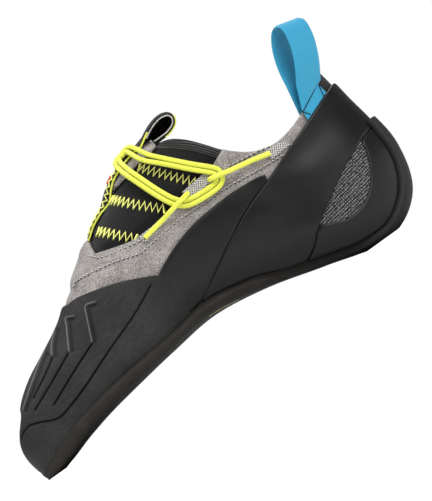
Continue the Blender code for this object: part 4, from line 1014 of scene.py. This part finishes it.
# Woven tape where the cords are sewn in, cut out in the side view (x, z corners)
tapeSizes = dict(along=24, across=14, low=0.75, high=1.35)
tapeCorners = dict(
    middle=((19.1, 78.6), (35.6, 80.2), (37.4, 74.4), (20.8, 72.9)),
    front=((-11.3, 73.0), (-1.3, 73.4), (-0.3, 69.2), (-10.3, 68.6)),
    rear=((64.0, 71.2), (73.5, 70.2), (77.5, 66.4), (65.0, 65.6)))
for label, corners in tapeCorners.items():
    a, b, c, d = np.array(corners)
    grid = fill(between(a, d, tapeSizes["across"]), between(b, c, tapeSizes["across"]),
                between(a, b, tapeSizes["along"]), between(d, c, tapeSizes["along"]))
    places = locate(grid.reshape(-1, 2), tapeSizes["high"]).reshape(*grid.shape)
    for side, sign in (("inner", 1), ("outer", -1)):
        patch("anchor_tape_" + label + "_" + side, places[..., 0], sign * places[..., 1], tapeSizes["low"],
              tapeSizes["high"], (anchorTape,), "suede", round=(0.3, 0.0), uv=grid)


# Sewing in Geometry Nodes: rows of stitches on a path, or a zigzag along it
def sewingTree(name, **sizes):  # takes a path, sizes in metres and a thread, and cuts the path into steps
    tree = bpy.data.node_groups.new(name, "GeometryNodeTree")
    tree.interface.new_socket("Geometry", in_out="INPUT", socket_type="NodeSocketGeometry")
    for label, value in sizes.items():
        tree.interface.new_socket(label, in_out="INPUT", socket_type="NodeSocketFloat").default_value = value
    tree.interface.new_socket("Thread", in_out="INPUT", socket_type="NodeSocketMaterial")
    tree.interface.new_socket("Geometry", in_out="OUTPUT", socket_type="NodeSocketGeometry")
    given = addNode(tree, "NodeGroupInput").outputs
    path = addNode(tree, "GeometryNodeMeshToCurve", {"Mesh": given["Geometry"]})
    path = addNode(tree, "GeometryNodeResampleCurve", {
        "Curve": path.outputs["Curve"], "Length": given["Spacing"]}, mode="LENGTH")
    return tree, given, path.outputs["Curve"]


def closeTree(tree, given, sewn):
    real = addNode(tree, "GeometryNodeRealizeInstances", {"Geometry": sewn})
    final = addNode(tree, "GeometryNodeSetMaterial", {
        "Geometry": real.outputs["Geometry"], "Material": given["Thread"]})
    tree.links.new(final.outputs["Geometry"], addNode(tree, "NodeGroupOutput").inputs["Geometry"])


stitchTree, given, steps = sewingTree("stitchRow", Spacing=0.0026, Length=0.0018, Radius=0.0003)
thread = addNode(stitchTree, "GeometryNodeMeshIcoSphere", {"Radius": 1.0, "Subdivisions": 2})
thread = addNode(stitchTree, "GeometryNodeSetShadeSmooth", {"Geometry": thread.outputs["Mesh"]})
tangent = addNode(stitchTree, "GeometryNodeInputTangent").outputs["Tangent"]
turn = addNode(stitchTree, "FunctionNodeAlignRotationToVector", {"Vector": tangent}, axis="X")
size = addNode(stitchTree, "ShaderNodeCombineXYZ", {
    "X": maths(stitchTree, "MULTIPLY", given["Length"], 0.5), "Y": given["Radius"], "Z": given["Radius"]})
placed = addNode(stitchTree, "GeometryNodeInstanceOnPoints", {
    "Points": steps, "Instance": thread.outputs["Geometry"], "Rotation": turn.outputs["Rotation"],
    "Scale": size.outputs["Vector"]})
closeTree(stitchTree, given, placed.outputs["Instances"])

zigzagTree, given, steps = sewingTree("zigzagRow", Spacing=0.0012, Width=0.002, Radius=0.0003)
aside = addNode(zigzagTree, "GeometryNodeInputNamedAttribute", {"Name": "aside"}, data_type="FLOAT_VECTOR")
index = addNode(zigzagTree, "GeometryNodeInputIndex").outputs["Index"]
sway = maths(zigzagTree, "MULTIPLY_ADD", maths(zigzagTree, "MODULO", index, 2.0), 2.0, -1.0)
far = maths(zigzagTree, "MULTIPLY", sway, given["Width"])
offset = addNode(zigzagTree, "ShaderNodeVectorMath", {
    0: aside.outputs["Attribute"], "Scale": far}, operation="SCALE")
moved = addNode(zigzagTree, "GeometryNodeSetPosition", {
    "Geometry": steps, "Offset": offset.outputs["Vector"]})
ring = addNode(zigzagTree, "GeometryNodeCurvePrimitiveCircle", {"Resolution": 6, "Radius": given["Radius"]})
sewn = addNode(zigzagTree, "GeometryNodeCurveToMesh", {
    "Curve": moved.outputs["Geometry"], "Profile Curve": ring.outputs["Curve"], "Fill Caps": True})
closeTree(zigzagTree, given, sewn.outputs["Mesh"])


# Runs a tree on paths (each of points and sideways vectors in millimetres) and keeps the plain mesh
def sew(name, tree, paths, inputs):
    points, edges, sides = [], [], []
    for line, sideways in paths:
        edges += [(len(points) + n, len(points) + n + 1) for n in range(len(line) - 1)]
        points += ((np.asarray(line) + toFloor) * mm).tolist()
        sides += np.broadcast_to(sideways, np.shape(line)).tolist()
    mesh = bpy.data.meshes.new(name + "_path")
    mesh.from_pydata(points, edges, [])
    aside = mesh.attributes.new("aside", "FLOAT_VECTOR", "POINT")
    aside.data.foreach_set("vector", np.asarray(sides, np.float32).ravel())
    made = bpy.data.objects.new(name, mesh)
    bpy.context.scene.collection.objects.link(made)
    modifier = made.modifiers.new(tree.name, "NODES")
    modifier.node_group = tree
    names = {item.name: item.identifier for item in tree.interface.items_tree if item.in_out == "INPUT"}
    for label, value in inputs.items():
        modifier[names[label]] = value
    bpy.context.view_layer.update()
    plain = bpy.data.meshes.new_from_object(made.evaluated_get(bpy.context.evaluated_depsgraph_get()))
    made.modifiers.clear()
    made.data = plain
    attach(made, "root")
    return made


# A path of the side view laid on the shoe, with its sideways vectors
def sewnLine(points, count, lift, sign=1):
    places = trace(points, count, float(np.mean(lift)))
    s, p = places[:, 0], sign * places[:, 1]
    line = lifted(s, p, np.broadcast_to(lift, s.shape))
    return line, unit(np.cross(np.gradient(line, axis=0), outward(s, p)))


# Zigzags across the tongue elastic (x, z)
zigzagRows = (((8.4, 101.8), (18.2, 89.8), (27.7, 78.1)), ((-11.9, 96.7), (-2.7, 86.4), (7.5, 76.6)),
              ((-26.5, 87.5), (-19.6, 80.0), (-12.6, 72.6)))
zigzags = [sewnLine(row, 40, -0.75, sign) for row in zigzagRows for sign in (1, -1)]
sew("tongue_zigzags", zigzagTree, zigzags,
    dict(Spacing=0.00155, Width=0.0024, Radius=0.00066, Thread=yellowThread))

# Stitch rows on the suede: thread in pairs of holes, along the throat band and down the vamp
stitchRows = dict(
    outer=((-51.9, 71.9), (-47.9, 73.3), (-30.2, 70.4), (-16.6, 66.2), (-11.6, 66.3), (6.3, 68.1),
           (16.7, 68.1), (27.6, 67.7), (38.7, 67.7), (50.0, 66.3), (62.0, 65.0), (69.6, 64.5)),
    upper=((40.9, 75.9), (46.7, 75.4), (53.3, 74.4), (61.8, 73.2), (67.0, 71.9)),
    front=((-36.8, 80.1), (-32.5, 75.8), (-24.3, 73.6), (-12.4, 71.2)))
stitches = [sewnLine(row, 160, 0.75, sign) for row in stitchRows.values() for sign in (1, -1)]
sew("suede_stitches", stitchTree, stitches,
    dict(Spacing=0.0024, Length=0.0019, Radius=0.00034, Thread=greyThreadAndTabHighlight))
# painted shadows: a dark dash beside and below each stitch, laid as a second row of thread
shadows = [(line + side * 0.45 - (0, 0, 0.1), side) for line, side in stitches]
sew("suede_stitch_shadows", stitchTree, shadows,
    dict(Spacing=0.0024, Length=0.0012, Radius=0.0003, Thread=stitchShadowPaint))

# Black thread on the pull loop's foot
loopThread = (((106.7, 85.2), (99.0, 80.4), (91.4, 75.9)), ((91.4, 75.9), (93.3, 73.3)),
              ((106.7, 85.2), (104.8, 77.4)))
loopRows = [sewnLine(row, 30, 2.3) for row in loopThread]
sew("pull_loop_thread", stitchTree, loopRows,
    dict(Spacing=0.0016, Length=0.0018, Radius=0.00028, Thread=blackThread))
print("sewing")

# Black binding folded over the collar edge at the back of the heel
bindSizes = dict(reach=0.2, count=40, thick=0.6)
bindP = np.linspace(-bindSizes["reach"], bindSizes["reach"], bindSizes["count"])
bindFold = ((0.35, -9.0), (0.55, -6.0), (0.6, -2.0), (0.5, 0.3), (-0.9, 1.2), (-2.3, 0.3), (-2.45, -2.0),
            (-2.4, -6.0))  # out from the edge and up from it
fold = smoothLine(bindFold, 34)
foldWay = np.gradient(fold, axis=0)
foldOut = fold + unit(np.stack([-foldWay[:, 1], foldWay[:, 0]], 1)) * bindSizes["thick"]
collar, face = skin(lastEnd, bindP)[:, None], outward(lastEnd, bindP)[:, None]
upEdge = unit(collar - skin(lastEnd - 0.02, bindP)[:, None])
bindTop, bindUnder = (collar + face * line[None, :, :1] + upEdge * line[None, :, 1:]
                      for line in (foldOut, fold))
gridPiece("heel_binding", bindTop, bindUnder, (strapWeb,), "elastic", round=(0.2, 0.0), uv=lengths(bindTop))

# Yellow overcasting along both sides of the strap
overcast = []
onStrap = slice(4, len(strapLow) - 24)
for column in (2, -3):
    line = strapTop[onStrap, column]
    proud = unit(line - strapUnder[onStrap, column]) * 0.3
    overcast.append((line + proud, unit(strapTop[onStrap, column + 1] - line)))
sew("strap_overcasting", zigzagTree, overcast,
    dict(Spacing=0.0018, Width=0.0017, Radius=0.0005, Thread=yellowThread))

# Plain red tag sewn across the strap, and a plain yellow stripe under the arch
tagSizes = dict(x=(-7.2, -3.2), half=6.5, low=0.95, high=1.75, rows=14, columns=21)
tagX = np.linspace(*tagSizes["x"], tagSizes["rows"])
tagS, tagP = ridgeStrip(ridgeS(tagX), np.full(tagSizes["rows"], tagSizes["half"]), tagSizes["columns"])
tagLift = np.interp(tagX, strapX, strapLift[:, strapSizes["across"] // 2])[:, None] + 0 * tagS
patch("red_tag", tagS, tagP, tagLift + tagSizes["low"], tagLift + tagSizes["high"], (redTape,),
      "strap_webbing", round=(0.3, 0.0))
stripeSizes = dict(along=40, across=7, half=1.1, low=-0.1, high=0.08)
stripeLine = sideLine(((-6.1, 19.2), (2.2, 18.8), (10.5, 18.3)), stripeSizes["along"])
stripeS, stripeP = (np.repeat(places[:, None], stripeSizes["across"], 1)
                    for places in locate(stripeLine, soleTop).T)
stripeP = creep(stripeS, stripeP, np.linspace(-1, 1, stripeSizes["across"])[None, :] * stripeSizes["half"])
patch("arch_stripe_print", stripeS, stripeP, soleTop + stripeSizes["low"], soleTop + stripeSizes["high"],
      (yellowPrint,), "sole_rubber", round=(0.02, 0.0))
print("binding, tag and stripe")

# Floor, light and camera
floor = bpy.data.objects.new("floor", bpy.data.meshes.new("floor"))
floor.data.from_pydata([(-2.2, -2.4, 0), (2.2, -2.4, 0), (2.2, 1.2, 0), (-2.2, 1.2, 0)], [], [(0, 1, 2, 3)])
paper, tree, shader = newMaterial("white paper, rolled", Roughness=0.9)
shader.inputs["Base Color"].default_value = hexColour("f4f4f4")
floor.data.materials.append(paper)
bpy.context.scene.collection.objects.link(floor)

studio = dict(ambient=0.2, overhead=126.0, key=13.0, fill=1.0, rim=4.0)
world = bpy.data.worlds.new("studio")
bpy.context.scene.world = world
world.use_nodes = True
sky = world.node_tree
ray = addNode(sky, "ShaderNodeLightPath").outputs["Is Camera Ray"]  # white behind the shoe, a dimmer light
glow = addNode(sky, "ShaderNodeMapRange", {"Value": ray, "To Min": studio["ambient"], "To Max": 1.0})
sky.links.new(glow.outputs["Result"], sky.nodes["Background"].inputs["Strength"])
sky.nodes["Background"].inputs["Color"].default_value = (1.0, 1.0, 1.0, 1.0)


def softBox(name, place, aim, size, power):
    lamp = bpy.data.lights.new(name, "AREA")
    lamp.shape = "RECTANGLE"
    lamp.size, lamp.size_y = size
    lamp.energy = power
    made = bpy.data.objects.new(name, lamp)
    made.location = place
    made.rotation_euler = (Vector(aim) - Vector(place)).to_track_quat("-Z", "Y").to_euler()
    bpy.context.scene.collection.objects.link(made)


softBox("overhead", (0.0, -0.6, 2.4), (0.0, -0.6, 0.0), (4.4, 4.4), studio["overhead"])
softBox("key", (0.94, -1.1, 0.93), (0.03, 0.0, 0.05), (0.7, 0.6), studio["key"])
softBox("fill", (-1.0, -1.0, 0.6), (0.0, 0.0, 0.05), (0.8, 0.8), studio["fill"])
softBox("rim", (0.3, 0.9, 1.0), (0.0, 0.0, 0.06), (1.0, 0.5), studio["rim"])

# the camera stands on the floor, rolled to the photo's angle
shot = dict(middle=(0.01624, -0.012, 0.0445), away=2.0, low=0.004, turn=0.62396, frameHigh=0.2505)
camera = bpy.data.objects.new("camera", bpy.data.cameras.new("camera"))
camera.data.sensor_width = 36.0
camera.data.lens = 36.0 * shot["away"] / shot["frameHigh"]
camera.data.clip_start, camera.data.clip_end = 0.05, 50.0
stand = Vector((shot["middle"][0], shot["middle"][1] - shot["away"], shot["low"]))
back = (stand - Vector(shot["middle"])).normalized()
level = Vector((1.0, 0.0, 0.0))
right = level * np.cos(shot["turn"]) - back.cross(level) * np.sin(shot["turn"])
facing = Matrix((right, back.cross(right), back)).transposed().to_4x4()
camera.matrix_world = Matrix.Translation(stand) @ facing
bpy.context.scene.collection.objects.link(camera)
bpy.context.scene.camera = camera
bpy.context.scene.view_settings.view_transform = "Standard"
